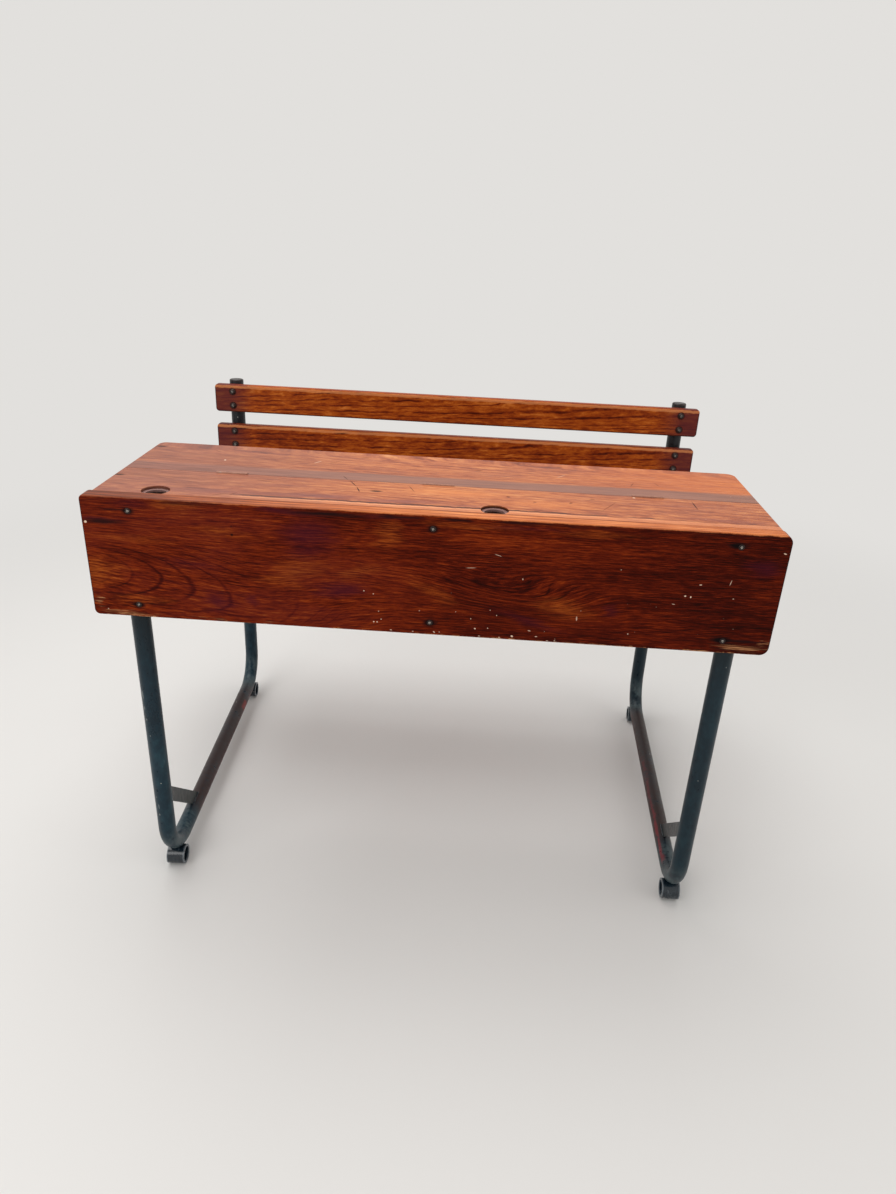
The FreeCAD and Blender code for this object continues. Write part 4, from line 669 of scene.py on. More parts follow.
RAIL_MARKS = {
    "plum": metres((
        (-330, 66, 130, 18, 0, 0.7), (-180, 70, 130, 16, 3, 1.0), (-60, 68, 120, 14, 4, 0.9),
        (-430, 105, 90, 20, 0, 0.4), (340, 120, 120, 12, 0, 0.4), (420, 66, 90, 12, -4, 0.5),
        (45, 62, 60, 6, 8, 0.7), (-240, 110, 80, 10, 0, 0.4),
    ), FACE),
    "amber": metres((
        (30, 120, 110, 26, 0, 1.0), (170, 90, 120, 30, 0, 0.8), (300, 50, 140, 12, 0, 0.6),
        (120, 40, 90, 6, 0, 0.6),
    ), FACE),
    "cuts": metres((
        (-133, 140, 20, 1.3, -62, 0.9), (-121, 112, 15, 1.4, -72, 1.0), (-40, 130, 21, 1.1, -68, 0.6),
        (397, 128, 26, 1.3, 92, 0.9), (262, 98, 38, 1, 60, 0.5), (-93, 109, 13, 5, 4, 1.0),
        (110, 118, 4, 5, 20, 0.6), (205, 105, 3, 5, -30, 0.6), (150, 100, 4, 3, 0, 0.6),
        (-498, 119, 14, 4.8, 4, 1.0), (240, 130, 6, 3, 10, 0.5), (-320, 50, 20, 1.2, 30, 0.7),
        (-300, 56, 12, 1.2, 60, 0.5), (-270, 128, 26, 1, -20, 0.6),
    ), FACE),
    "pale": metres((
        (240, 36, 4, 1.6, 0, 0.9), (307, 150, 3, 3, 0, 0.8),
    ), FACE),
}
LID_MARKS = {
    "cuts": metres((
        (-494, 291, 14, 5.2, 4, 1.0), (-150, 168, 13, 1, -60, 0.8), (-180, 255, 18, 1, 40, 0.6),
        (62, 250, 10, 4, 20, 0.5), (314, 219, 14, 1.2, 70, 0.5), (356, 227, 12, 1.2, 110, 0.5),
        (-135, 290, 12, 2, 10, 0.7), (200, 300, 8, 3, 0, 0.5), (-390, 280, 14, 1, -40, 0.5),
    ), FACE),
    "pale": metres((
        (-210, 248, 12, 1, 55, 0.8), (-363, 229, 2.2, 3, 0, 1.0), (200, 245, 16, 0.9, 50, 0.5),
    ), FACE),
}


SLAT_GRAIN = {"streaks": ((90, 4.0, 0.3), (380, 30.0, 0.95), (800, 60.0, 0.6)), "ring": 0.0043,
              "rings": 0.34, "clouds": 0.5, "level": 0.61}


def slat_varnish(name, axes, colour, seed):
    """A slat: orange-brown with fine wavy dark grain, plum ends, a pale upper arris painted as a highlight
    and a dark lower one painted as shade.
    """
    low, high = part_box(name)
    across = "xyz".index(axes[1])
    skin = Wood(f"{name}_varnish", axes, seed, specular=0.10)
    face = low[1] if axes[2] == "y" else high[2]
    flow = skin.heart((low[across] + high[across]) / 2 + 0.05, skin.add(0.12, skin.times(skin.x, 0.02)),
                      skin.size_of(skin.subtract(skin.depth, face)))
    flow = skin.swayed(flow, 0.003, 0.0013, 0.0008)
    value, lines, clouds = plank(skin, flow, SLAT_GRAIN)
    wood = skin.varnish(value, SLAT_TONES, colour)
    ends = skin.total(skin.size_of(skin.x), (clouds, 0.5, 0.05), (lines, 0.5, 0.03))
    wood = skin.over(wood, skin.ease(ends, 0.435, 0.505, 0.0, 0.8), (82, 32, 36))
    tips = skin.ease(skin.size_of(skin.x), high[0] - 0.004, high[0] - 0.0012)
    wood = skin.over(wood, tips, (34, 8, 6), 0.75)
    if axes[2] == "y":
        wood = slat_edges(skin, low[2], high[2], lines, wood)
    worn = skin.total(0.42, (lines, 0.5, 0.35), (clouds, 0.5, 0.2))
    return skin.finish(wood, worn, skin.bump(plank_relief(skin, lines, flow), 0.0004))


def slat_edges(skin, bottom, top, lines, wood):
    """Backrest slats: a painted highlight along the upper arris, painted shade along the lower, dark round
    the bolts.
    """
    # painted highlight: a pale band along the upper arris, with a wavy border
    painted_highlight = skin.total(skin.z, (lines, 0.5, 0.006))
    upper = skin.between(painted_highlight, top - 0.0060, top - 0.0026, 0.0018)
    wood = skin.over(wood, upper, (214, 136, 82), 0.6)
    # painted shade: a dark band along the lower arris
    lower = skin.ease(skin.z, bottom + 0.0050, bottom + 0.0012)
    wood = skin.over(wood, lower, (30, 6, 3), 0.75)
    places = {(round((end[0].x + end[1].x) / 2, 4), round(end[1].z - BOLT_HEAD / 2, 4))
              for end in solids("backrest_bolts")}
    rows = [(across, up, 0.0098, 0.0098, 0, 1.0) for across, up in sorted(places) if bottom < up < top]
    return skin.over(wood, skin.marks(skin.flat, rows, 0.45), (24, 8, 10))


BOX_GRAIN = {"streaks": ((90, 3.0, 0.5), (290, 9.0, 0.8), (800, 26.0, 0.4)), "ring": 0.006,
             "rings": 0.2, "clouds": 0.45, "level": 0.5}


def box_varnish(name, axes, colour, seed):
    """Boards of the book box: plain darker wood, with patches of dust."""
    low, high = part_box(name)
    across = "xyz".index(axes[1])
    skin = Wood(f"{name}_varnish", axes, seed, specular=0.2)
    flow = skin.heart((low[across] + high[across]) / 2 - 0.03, skin.add(0.08, skin.times(skin.along, 0.04)))
    flow = skin.swayed(flow, 0.010, 0.0025, 0.0006)
    value, lines, _ = plank(skin, flow, BOX_GRAIN)
    wood = skin.varnish(value, BOX_TONES, colour)
    dust = skin.ease(skin.noise(skin.place, 14.0, 4.0, 0.6), 0.5, 0.8, 0.0, 0.25)
    wood = skin.over(wood, dust, (150, 120, 96))
    worn = skin.total(0.46, (lines, 0.5, 0.3), (dust, 0.0, 0.6))
    return skin.finish(wood, worn, skin.bump(plank_relief(skin, lines, flow), 0.0004))


# ---------------------------------------------------------------- enamel, steel and glaze


def enamel(colour, name="frame_enamel", shade="legs"):
    """Thick teal enamel, bluish and chipped, worn to plum on the base tubes, with painted shade under the
    desk and a painted grey highlight at the bends.
    """
    skin = Finish(name, 0.36, 0.0, 0.6 if shade == "feet" else 0.26)
    tint = [value / usual for value, usual in zip(colour, tone(*ENAMEL_TONE))]

    def hue(*steps):
        return tuple(part * value for part, value in zip(tint, tone(*steps)))

    cloud = skin.cells((16, 16, 9), 4.0, 0.6)
    fine = skin.cells((140, 140, 70), 3.0, 0.65)
    patch = skin.cells((34, 34, 26), 3.0, 0.6, (0.4, 0, 0.2))
    value = skin.total(0.5, (cloud, 0.5, 0.6), (fine, 0.5, 0.5), (patch, 0.5, 0.3))
    paint = skin.ramp(value, (
        (0.1, hue(5, 20, 29)), (0.32, hue(9, 32, 43)), (0.5, hue(*ENAMEL_TONE)), (0.7, hue(30, 62, 73)),
        (0.92, hue(76, 98, 102))))
    if shade == "legs":
        paint, wear_and_sheen = leg_shades(skin, paint, cloud, fine, patch, hue)
    elif shade == "feet":
        paint, wear_and_sheen = foot_shades(skin, paint, fine, hue)
    elif shade == "caps":
        wear_and_sheen = skin.ease(patch, 0.5, 0.7)
        paint = skin.mix(skin.times(wear_and_sheen, 0.4), tone(38, 31, 31), tone(80, 68, 62))
    else:
        wear_and_sheen = skin.ease(cloud, 0.45, 0.7)
        paint = skin.mix(0.7, paint, skin.mix(wear_and_sheen, tone(25, 23, 16), tone(48, 44, 32)))
    chips = skin.times(skin.specks(skin.place, 70, 0.10, 0.05), 0.8)
    bare = skin.ease(skin.cells((90, 90, 60), 4.0, 0.7, (0, 0.3, 0.6)), 0.74, 0.77)
    paint = skin.over(paint, chips, (196, 196, 186), 0.8)
    paint = skin.over(paint, bare, (58, 34, 28), 0.6)
    gloss = skin.total(0.22 if shade == "feet" else 0.34, (fine, 0.5, 0.4), (cloud, 0.5, 0.3),
                       (wear_and_sheen, 0.0, 0.08), (bare, 0.0, 0.3))
    relief = skin.total(0.0, (cloud, 0.5, 0.6), (fine, 0.5, 0.35), (bare, 0.0, -0.6), (chips, 0.0, -0.6))
    return skin.finish(paint, gloss, skin.bump(relief, 0.0006))


def foot_shades(skin, paint, fine, hue):
    """Feet: blue-black, rubbed pale at the two rims, with pale streaks round them painted as highlights."""
    line = skin.total(LEG_X, (skin.y, LEG_Y, math.tan(math.radians(SPLAY))))
    out = skin.size_of(skin.subtract(skin.size_of(skin.x), line))
    rim = skin.ease(skin.total(out, (fine, 0.5, 0.004)), FOOT_HALF - 0.0028, FOOT_HALF - 0.0008)
    # painted highlight: pale streaks round the feet; the pale rims are worn paint
    worn = skin.cells((210, 40, 60), 3.0, 0.65)
    wear_and_sheen = skin.larger(skin.times(rim, 0.9), skin.ease(worn, 0.56, 0.74, 0.0, 0.7))
    paint = skin.mix(0.72, paint, hue(20, 26, 34))
    return skin.mix(skin.times(wear_and_sheen, 0.75), paint, hue(110, 118, 124)), wear_and_sheen


def leg_shades(skin, paint, cloud, fine, patch, hue):
    """Zones of the side frames: painted shade under the desk and over the right frame, a painted grey
    highlight on the bends, and a plum base, red on its inner side.
    """
    side = skin.size_of(skin.x)
    inner = skin.subtract(
        skin.total(LEG_X, (skin.y, LEG_Y, math.tan(math.radians(SPLAY)))), side)
    # painted shade: the front legs darken high up under the top, and the whole right frame is darker
    front = skin.ease(skin.y, LEG_Y + 0.03, LEG_Y - 0.005)
    high = skin.times(front, skin.ease(skin.z, 0.40, 0.56))
    high = skin.larger(high, skin.ease(skin.x, 0.0, 0.4, 0.0, 0.62))
    paint = skin.mix(skin.times(high, 0.75), paint, hue(6, 17, 23))
    post = skin.times(skin.ease(skin.y, 0.20, 0.28), skin.ease(skin.z, 0.40, 0.62))
    paint = skin.over(paint, post, (38, 32, 31), 0.7)
    # painted highlight: patchy pale grey-teal on the bends
    bends = skin.times(skin.ease(skin.z, 0.12, 0.07), skin.larger(
        skin.ease(skin.y, FACE + 0.22, FACE + 0.12), skin.ease(skin.y, FACE + 0.60, FACE + 0.66)))
    painted_highlight = skin.times(bends, skin.ease(skin.total(0.5, (patch, 0.5, 1.0), (fine, 0.5, 0.7)), 0.35, 0.65))
    paint = skin.mix(skin.times(painted_highlight, 0.7), paint, hue(74, 88, 90))
    ground = skin.times(skin.ease(skin.z, 0.075, 0.058), skin.between(skin.y, FACE + 0.22, FACE + 0.62, 0.06))
    worn = skin.times(ground, skin.ease(skin.total(0.60, (cloud, 0.5, 0.9), (fine, 0.5, 0.5)), 0.3, 0.6))
    paint = skin.over(paint, worn, (44, 25, 20), 0.9)
    under = skin.times(ground, skin.times(skin.ease(inner, 0.002, 0.010), skin.ease(skin.z, 0.052, 0.040)))
    paint = skin.over(paint, under, (54, 14, 15), 0.85)
    ragged = skin.cells((20, 9, 60), 3.0, 0.65)
    line = skin.between(skin.total(skin.z, (ragged, 0.5, 0.020)), 0.0485, 0.0515, 0.0018)
    run = skin.times(skin.between(skin.y, FACE + 0.14, FACE + 0.44, 0.03),
                     skin.ease(skin.y, FACE + 0.32, FACE + 0.24, 0.4, 1.0))
    run = skin.times(run, skin.ease(skin.total(ragged, (fine, 0.5, 0.6)), 0.36, 0.56))
    red = skin.times(line, skin.ease(inner, 0.001, 0.005))
    red = skin.times(red, skin.times(run, skin.ease(skin.x, 0.0, 0.1)))
    paint = skin.over(paint, red, (118, 30, 38), 0.8)
    spot = skin.times(skin.between(skin.y, FACE + 0.560, FACE + 0.585, 0.008),
                      skin.times(skin.ease(inner, 0.005, 0.010), skin.between(skin.z, 0.040, 0.048, 0.004)))
    paint = skin.over(paint, skin.times(spot, skin.ease(skin.x, 0.0, -0.1)), (124, 30, 26), 0.8)
    nicks = skin.times(skin.marks(skin.vector(skin.x, skin.z), LEG_NICKS, 0.6), front)
    return skin.over(paint, nicks, (150, 156, 152)), skin.larger(painted_highlight, worn)


LEG_NICKS = metres((
    # pale scratches on the front legs
    (-470.5, 398, 0.9, 11, 2, 0.8), (-470.3, 372, 0.8, 5, 0, 0.6), (-469, 350, 1, 3, 0, 0.6),
    (-466, 318, 0.9, 2, 0, 0.7), (-466.8, 168, 0.8, 7, 2, 0.7), (-467.2, 150, 1, 3, 0, 0.8),
    (-469, 188, 0.9, 2, 0, 0.5), (459, 302, 1.2, 1.2, 0, 0.6), (466, 520, 1, 1.6, 0, 0.5),
))


def steel(name, colour, roughness, rust):
    """Bare worn steel, scratched and spotted with rust."""
    skin = Finish(name, roughness, 0.8, 0.5)
    cloud = skin.noise(skin.place, 160, 4.0, 0.65)
    scratch = skin.cells((60, 900, 500), 3.0, 0.6)
    value = skin.total(0.5, (cloud, 0.5, 1.0), (scratch, 0.5, 0.7))
    dark = tuple(0.35 * part for part in colour)
    pale = tuple(min(1.0, 1.5 * part) for part in colour)
    metal = skin.ramp(value, ((0.1, dark), (0.5, tuple(colour)), (0.95, pale)))
    spots = skin.noise(skin.stretch(skin.place, (1, 1, 1), (0.7, 0.1, 0.4)), 90, 4.0, 0.7)
    eaten = skin.ease(spots, 0.6 - rust * 0.2, 0.68)
    metal = skin.over(metal, eaten, (88, 46, 26), 0.85)
    gloss = skin.total(roughness, (cloud, 0.5, 0.3), (eaten, 0.0, 0.35))
    relief = skin.total(0.0, (cloud, 0.5, 0.5), (scratch, 0.5, 0.4))
    return skin.finish(metal, gloss, skin.bump(relief, 0.00015))


def worn_steel(name, colour, centres, radius, bright, shine):
    """Slotted heads: rusty brown at the rim, with a painted highlight in the middle; centres are (across,
    up).
    """
    skin = Finish(name, 0.42, 0.4, 0.4)
    cloud = skin.noise(skin.place, 700, 3.0, 0.65)
    rows = [(*centre, radius * bright, radius * bright, 0, 1.0) for centre in centres]
    middle = skin.marks(skin.vector(skin.x, skin.z), rows, 0.8)
    # painted highlight: the bright middle of each head
    painted_highlight = skin.ease(skin.total(middle, (cloud, 0.5, 1.9)), 0.45, 0.95)
    dark = skin.mix(skin.ease(cloud, 0.4, 0.6), tone(20, 11, 11), tone(58, 38, 32))
    metal = skin.mix(painted_highlight, dark, tuple(min(1.0, shine * part) for part in colour))
    return skin.finish(metal, skin.total(0.45, (cloud, 0.5, 0.4), (painted_highlight, 0.0, -0.1)),
                       skin.bump(cloud, 0.00012))


def hinge_brown(colour):
    """Hinge leaves and knuckles: brassy steel, browned and dulled by age."""
    skin = Finish("hinge_brown", 0.52, 0.15, 0.2)
    cloud = skin.noise(skin.place, 90, 4.0, 0.65)
    fine = skin.noise(skin.place, 420, 3.0, 0.6)
    value = skin.total(0.5, (cloud, 0.5, 1.1), (fine, 0.5, 0.6))
    metal = skin.ramp(value, (
        (0.05, tone(104, 72, 61)), (0.4, tone(146, 104, 88)), (0.65, tone(164, 119, 101)),
        (0.98, tuple(colour))))
    return skin.finish(metal, skin.total(0.5, (cloud, 0.5, 0.5)), skin.bump(value, 0.00015))


def glaze(colour):
    """Inkwell cups: glazed mauve-grey china, crazed, ink-stained inside and worn pale at the rim."""
    skin = Finish("inkwell_glaze", 0.3, 0.0, 0.3)
    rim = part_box("left_inkwell_cup")[1][2]
    cloud = skin.noise(skin.place, 110, 4.0, 0.6)
    fine = skin.noise(skin.place, 520, 3.0, 0.65)
    value = skin.total(0.5, (cloud, 0.5, 1.0), (fine, 0.5, 0.7))
    dark = tuple(0.45 * part for part in colour)
    pale = tuple(min(1.0, 1.5 * part) for part in colour)
    china = skin.ramp(value, ((0.08, dark), (0.45, tuple(colour)), (0.95, pale)))
    inside = skin.ease(skin.total(skin.z, (cloud, 0.5, 0.003)), rim - 0.0025, rim - 0.0050)
    china = skin.over(china, inside, (16, 10, 12), 0.95)
    gloss = skin.total(0.3, (cloud, 0.5, 0.4), (fine, 0.5, 0.2))
    return skin.finish(china, gloss, skin.bump(skin.total(0.0, (cloud, 0.5, 0.6), (fine, 0.5, 0.4)), 0.0002))


def dried_ink():
    """Old blue-black ink with a dried skin."""
    skin = Finish("dried_ink", 0.5, 0.0, 0.12)
    ripples = skin.noise(skin.place, 240, 3.0, 0.6)
    ink = skin.ramp(ripples, ((0.2, tone(8, 8, 14)), (0.8, tone(34, 30, 44))))
    return skin.finish(ink, skin.total(0.3, (ripples, 0.5, 0.4)), skin.bump(ripples, 0.0003))


# ---------------------------------------------------------------- shapes

SHARP = 38  # degrees between two faces from which their edge stays sharp
DOME_POINTS = 17
RIM_SHARE = 0.985  # of a head's radius, where its last strip begins
HEAD_SINK = 0.0006  # metres that a head's rim reaches into its seat
BEAD_STEP, BEAD_RIPPLE, BEAD_SIDES, BEAD_LUMP = 0.0009, 0.0013, 8, 6
OFF_AXIS = Vector((0.31, 0.17, 0.93))  # a direction that no bead runs along
NARROW = 0.004  # metres up to which an end is taken for a bar's edge and not for its width
TOUCH = 0.0004  # metres within which a point counts as lying on a tube or a face

def new_piece(name, rows, faces, material):
    """A mesh object from points and faces, with its finish."""
    mesh = bpy.data.meshes.new(name)
    mesh.from_pydata([tuple(row) for row in rows], [], faces)
    mesh.materials.append(material)
    for polygon in mesh.polygons:
        polygon.use_smooth = True
    mesh.validate()
    mesh.update()
    mesh.set_sharp_from_angle(angle=math.radians(SHARP))
    piece = bpy.data.objects.new(name, mesh)
    bpy.context.scene.collection.objects.link(piece)
    return piece


def solids(name):
    """Boxes (low, high) of the loose solids of a frame piece, from left to right and top to bottom."""
    shape = bmesh.new()
    shape.from_mesh(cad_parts[name].data)
    shape.transform(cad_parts[name].matrix_world)
    bmesh.ops.remove_doubles(shape, verts=shape.verts, dist=1e-6)
    waiting, boxes = set(shape.verts), []
    while waiting:
        group, edge_of_group = set(), [waiting.pop()]
        while edge_of_group:
            vertex = edge_of_group.pop()
            group.add(vertex)
            for edge in vertex.link_edges:
                other = edge.other_vert(vertex)
                if other in waiting:
                    waiting.remove(other)
                    edge_of_group.append(other)
        places = [vertex.co for vertex in group]
        boxes.append((Vector(map(min, zip(*places))), Vector(map(max, zip(*places)))))
    shape.free()
    return sorted(boxes, key=lambda box: (round(box[0].x, 3), -round(box[1].z, 3)))


def slotted_dome(radius, height, slot, depth, steps=7, skirt=0.0):
    """Points and faces of a slotted round head whose axis is +Z and whose seat is at 0.

    The head is cut in strips along the slot, so that the slot's walls and floor are true faces.
    """
    spread = radius * RIM_SHARE - slot / 2
    inner = [slot / 2 + spread * (index / steps) ** 0.8 for index in range(1, steps + 1)]
    lines = [-value for value in reversed(inner)] + [-slot / 2, -slot / 2, slot / 2, slot / 2] + inner
    sunk = len(inner)
    places, faces, count = [], [], DOME_POINTS
    for row, across in enumerate(lines):
        reach = math.sqrt(max(radius * radius - across * across, 1e-12))
        floor = sunk + 1 <= row <= sunk + 2
        for index in range(count):
            along = reach * math.sin(math.pi * (index / (count - 1) - 0.5))
            share = min(1.0, (across * across + along * along) / (radius * radius))
            level = skirt + height * math.sqrt(max(0.0, 1 - share ** 1.15))
            if floor:
                level = min(level, skirt + height - depth)
            places.append((along, across, max(level, 0.0)))
    for row in range(len(lines) - 1):
        for index in range(count - 1):
            first = row * count + index
            faces.append((first, first + 1, first + 1 + count, first + count))
    rim = (list(range(count))
           + [row * count + count - 1 for row in range(1, len(lines))]
           + [(len(lines) - 1) * count + index for index in range(count - 2, -1, -1)]
           + [row * count for row in range(len(lines) - 2, 0, -1)])
    base = len(places)
    places += [(places[entry][0], places[entry][1], -HEAD_SINK) for entry in rim]
    for index, entry in enumerate(rim):
        follow = (index + 1) % len(rim)
        faces.append((entry, base + index, base + follow, rim[follow]))
    return places, faces


def lathe(profile, steps=40):
    """Points and faces of a turned shape from (radius, height) rows, about +Z."""
    places, faces = [], []
    for radius, height in profile:
        for index in range(steps):
            turn = 2 * math.pi * index / steps
            places.append((radius * math.cos(turn), radius * math.sin(turn), height))
    for row in range(len(profile) - 1):
        for index in range(steps):
            follow = (index + 1) % steps
            first = row * steps
            faces.append((first + index, first + follow, first + steps + follow, first + steps + index))
    return places, faces


def facing_front(places, centre, spin=0.0, lean=0.0):
    """Turn a head so that its axis points to the front, leaning back by an angle, and move it."""
    turn = Matrix.Rotation(math.radians(90 - lean), 4, "X") @ Matrix.Rotation(math.radians(spin), 4, "Z")
    return [turn @ Vector(place) + Vector(centre) for place in places]


def resampled(path, step):
    """Points at even steps along a path of points."""
    even, left = [path[0]], 0.0
    for first, second in zip(path, path[1:]):
        length = (second - first).length
        while left + step <= length + 1e-9:
            left += step
            even.append(first.lerp(second, left / length))
        left -= length
    return even


def bead(path, width, closed, chance):
    """Points and faces of a weld bead along a path: a flattened tube with the ripples of its making."""
    path = resampled(path + path[:1] if closed else path, BEAD_STEP)
    if closed and (path[-1] - path[0]).length < 0.0006:
        path = path[:-1]
    count, sides = len(path), BEAD_SIDES
    places, faces = [], []
    swell = 1.0
    for index, centre in enumerate(path):
        ahead = path[(index + 1) % count] if closed or index < count - 1 else centre
        behind = path[index - 1] if closed or index else centre
        run = (ahead - behind).normalized()
        side = run.cross(OFF_AXIS).normalized()
        up = side.cross(run).normalized()
        if index % BEAD_LUMP == 0:
            swell = chance.uniform(0.86, 1.14)
        taper = 1.0 if closed else min(1.0, 0.35 + min(index, count - 1 - index) * 0.25)
        wave = math.sin(2 * math.pi * index * BEAD_STEP / BEAD_RIPPLE)
        radius = width / 2 * swell * taper * (1 + 0.11 * wave)
        for corner in range(sides):
            turn = 2 * math.pi * corner / sides
            places.append(centre + side * (radius * math.cos(turn)) + up * (radius * math.sin(turn)))
    for index in range(count if closed else count - 1):
        follow = (index + 1) % count
        for corner in range(sides):
            beside = (corner + 1) % sides
            faces.append((index * sides + corner, index * sides + beside, follow * sides + beside,
                          follow * sides + corner))
    if not closed:
        faces.append(tuple(range(sides - 1, -1, -1)))
        faces.append(tuple((count - 1) * sides + corner for corner in range(sides)))
    return places, faces


def joined(groups):
    """Several (points, faces) as one."""
    places, faces = [], []
    for group_places, group_faces in groups:
        start = len(places)
        places += group_places
        faces += [tuple(start + entry for entry in face) for face in group_faces]
    return places, faces


# ---------------------------------------------------------------- fixings and welds


def board_screw(sizes, centre, length, spin):
    """Countersunk slotted screw: a low dome over a cone, and the shank in the wood."""
    radius, rise, slot_depth, core = sizes.screw_head / 2, 0.0009, 0.0011, 0.0022
    dome = slotted_dome(radius, rise, sizes.screw_slot, slot_depth, skirt=0.0002)
    shank = lathe([(radius * RIM_SHARE, -0.0004), (core, -0.0026), (core, -length)], 20)
    places, faces = joined([dome, shank])
    return facing_front(places, centre, spin), faces


def backrest_bolt(sizes, centre, length, spin):
    """Slotted round-headed bolt through slat and post, with its shank."""
    rise, slot_depth, core, axis = 0.0042, 0.0018, 0.003, 0.0001
    dome = slotted_dome(sizes.bolt_head / 2, rise, sizes.bolt_slot, slot_depth, 8)
    shank = lathe([(axis, -0.0004), (core, -0.0005), (core, -length + 0.0006), (0.0024, -length),
                   (axis, -length)], 20)
    places, faces = joined([dome, shank])
    return facing_front(places, centre, spin, LEAN), faces


def in_frame(side, place):
    """A place in a side frame's own axes: along it from the front leg, outward from it and up."""
    turn = math.radians(SPLAY)
    across, back = side * place[0] - LEG_X, place[1] - LEG_Y
    return Vector((across * math.sin(turn) + back * math.cos(turn),
                   across * math.cos(turn) - back * math.sin(turn), place[2]))


def from_frame(side, place):
    turn = math.radians(SPLAY)
    along, out, up = place
    return Vector((side * (LEG_X + along * math.sin(turn) + out * math.cos(turn)),
                   LEG_Y + along * math.cos(turn) - out * math.sin(turn), up))


def node_points(name):
    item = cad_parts[name]
    return [item.matrix_world @ vertex.co for vertex in item.data.vertices]


def saddle_loop(side, name, bend):
    """The closed line on which a foot meets the bend over it."""
    spots = {}
    for place in node_points(name):
        along, out, up = in_frame(side, place)
        reach = math.hypot(math.hypot(along - bend, up - BASE - BEND) - BEND, out)
        if abs(reach - TUBE) < TOUCH:
            spots[(round(along, 5), round(out, 5), round(up, 5))] = Vector((along, out, up))
    middle = sum(spots.values(), Vector()) / len(spots)
    around = sorted(spots.values(), key=lambda spot: math.atan2(spot.y - middle.y, spot.x - middle.x))
    return [from_frame(side, spot) for spot in around]


def bar_lines(side, name):
    """The four lines on which a flat bar's two ends meet the tubes."""
    spots = [in_frame(side, place) for place in node_points(name)]
    ends = []
    for axis, pick in ((0, min), (2, min), (0, max), (2, max)):
        limit = pick(spot[axis] for spot in spots)
        close = [spot for spot in spots if abs(spot[axis] - limit) < TOUCH]
        other = 2 - axis
        low, high = min(spot[other] for spot in close), max(spot[other] for spot in close)
        if high - low > NARROW:
            ends.append((axis, limit, other, low, high, [spot.y for spot in close]))
    lines = []
    for axis, limit, other, low, high, outs in ends:
        for out in (min(outs), max(outs)):
            path = []
            for level in (low, high):
                spot = [0.0, out, 0.0]
                spot[axis], spot[other] = limit, level
                path.append(from_frame(side, spot))
            lines.append(path)
    return lines


def fitted(name, shape, material, body="desk"):
    """Make a piece and fix it to a body of the desk."""
    piece = new_piece(name, *shape, material)
    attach(piece, body)
    return piece


# ---------------------------------------------------------------- pieces

WELD_SEED, SCREW_SEED, BOLT_SEED = 41, 7, 19

class PieceStep:
    """What all the steps share: the settings of the scene."""

    bl_options = {"REGISTER"}

    @staticmethod
    def settings(context):
        return context.scene.desk_sizes, context.scene.desk_colours


class DESK_OT_front_board(PieceStep, bpy.types.Operator):
    """Varnish the front board"""

    bl_idname = "desk.front_board"
    bl_label = "Front Board"

    def execute(self, context):
        colours = self.settings(context)[1]
        coat_nodes(board_varnish(colours.board), "front_board")
        return {"FINISHED"}


class DESK_OT_top(PieceStep, bpy.types.Operator):
    """Varnish the fixed plank and the lid of the desk top, with the lid's battens"""

    bl_idname = "desk.top"
    bl_label = "Desk Top"

    def execute(self, context):
        colours = self.settings(context)[1]
        coat_nodes(rail_varnish(colours.top), "inkwell_rail")
        coat_nodes(lid_varnish(colours.top), "lid_board")
        for seed, name in enumerate(("left_lid_batten", "right_lid_batten")):
            coat_nodes(box_varnish(name, "yxz", colours.box, 2.3 + seed), name)
        return {"FINISHED"}


class DESK_OT_book_box(PieceStep, bpy.types.Operator):
    """Varnish the book box under the lid"""

    bl_idname = "desk.book_box"
    bl_label = "Book Box"

    def execute(self, context):
        colours = self.settings(context)[1]
        for seed, (name, axes) in enumerate((
                ("box_bottom", "xyz"), ("rear_rail", "xzy"), ("left_end_panel", "yzx"),
                ("right_end_panel", "yzx"), ("centre_partition", "yzx"))):
            coat_nodes(box_varnish(name, axes, colours.box, 1.1 * seed), name)
        return {"FINISHED"}


class DESK_OT_slats(PieceStep, bpy.types.Operator):
    """Varnish the backrest and seat slats"""

    bl_idname = "desk.slats"
    bl_label = "Slats"

    def execute(self, context):
        colours = self.settings(context)[1]
        rows = (("backrest_slat_upper", "xzy"), ("backrest_slat_lower", "xzy"), ("seat_slat_front", "xyz"),
                ("seat_slat_middle", "xyz"), ("seat_slat_rear", "xyz"))
        for seed, (name, axes) in enumerate(rows):
            coat_nodes(slat_varnish(name, axes, colours.slats, 1.3 + 2.1 * seed), name)
        return {"FINISHED"}


class DESK_OT_side_frames(PieceStep, bpy.types.Operator):
    """Enamel the two bent tube frames"""

    bl_idname = "desk.side_frames"
    bl_label = "Side Frames"

    def execute(self, context):
        colours = self.settings(context)[1]
        coat_nodes(enamel(colours.enamel), "left_side_frame", "right_side_frame")
        return {"FINISHED"}


class DESK_OT_feet(PieceStep, bpy.types.Operator):
    """Enamel the four feet"""

    bl_idname = "desk.feet"
    bl_label = "Feet"

    def execute(self, context):
        colours = self.settings(context)[1]
        coat_nodes(enamel(colours.enamel, "foot_enamel", "feet"), *nodes_ending("_foot"))
        return {"FINISHED"}


class DESK_OT_stays(PieceStep, bpy.types.Operator):
    """Enamel the braces, seat arms and seat struts"""

    bl_idname = "desk.stays"
    bl_label = "Braces and Seat Arms"

    def execute(self, context):
        colours = self.settings(context)[1]
        coat_nodes(enamel(colours.enamel, "brace_enamel", "braces"), *nodes_ending("_brace", "_strut"))
        coat_nodes(enamel(colours.enamel, "arm_enamel"), *nodes_ending("_seat_arm"))
        return {"FINISHED"}


class DESK_OT_caps(PieceStep, bpy.types.Operator):
    """Finish the dark caps in the tube ends"""

    bl_idname = "desk.caps"
    bl_label = "Tube Caps"

    def execute(self, context):
        colours = self.settings(context)[1]
        coat_nodes(enamel(colours.enamel, "cap_enamel", "caps"), *nodes_ending("_cap"))
        return {"FINISHED"}


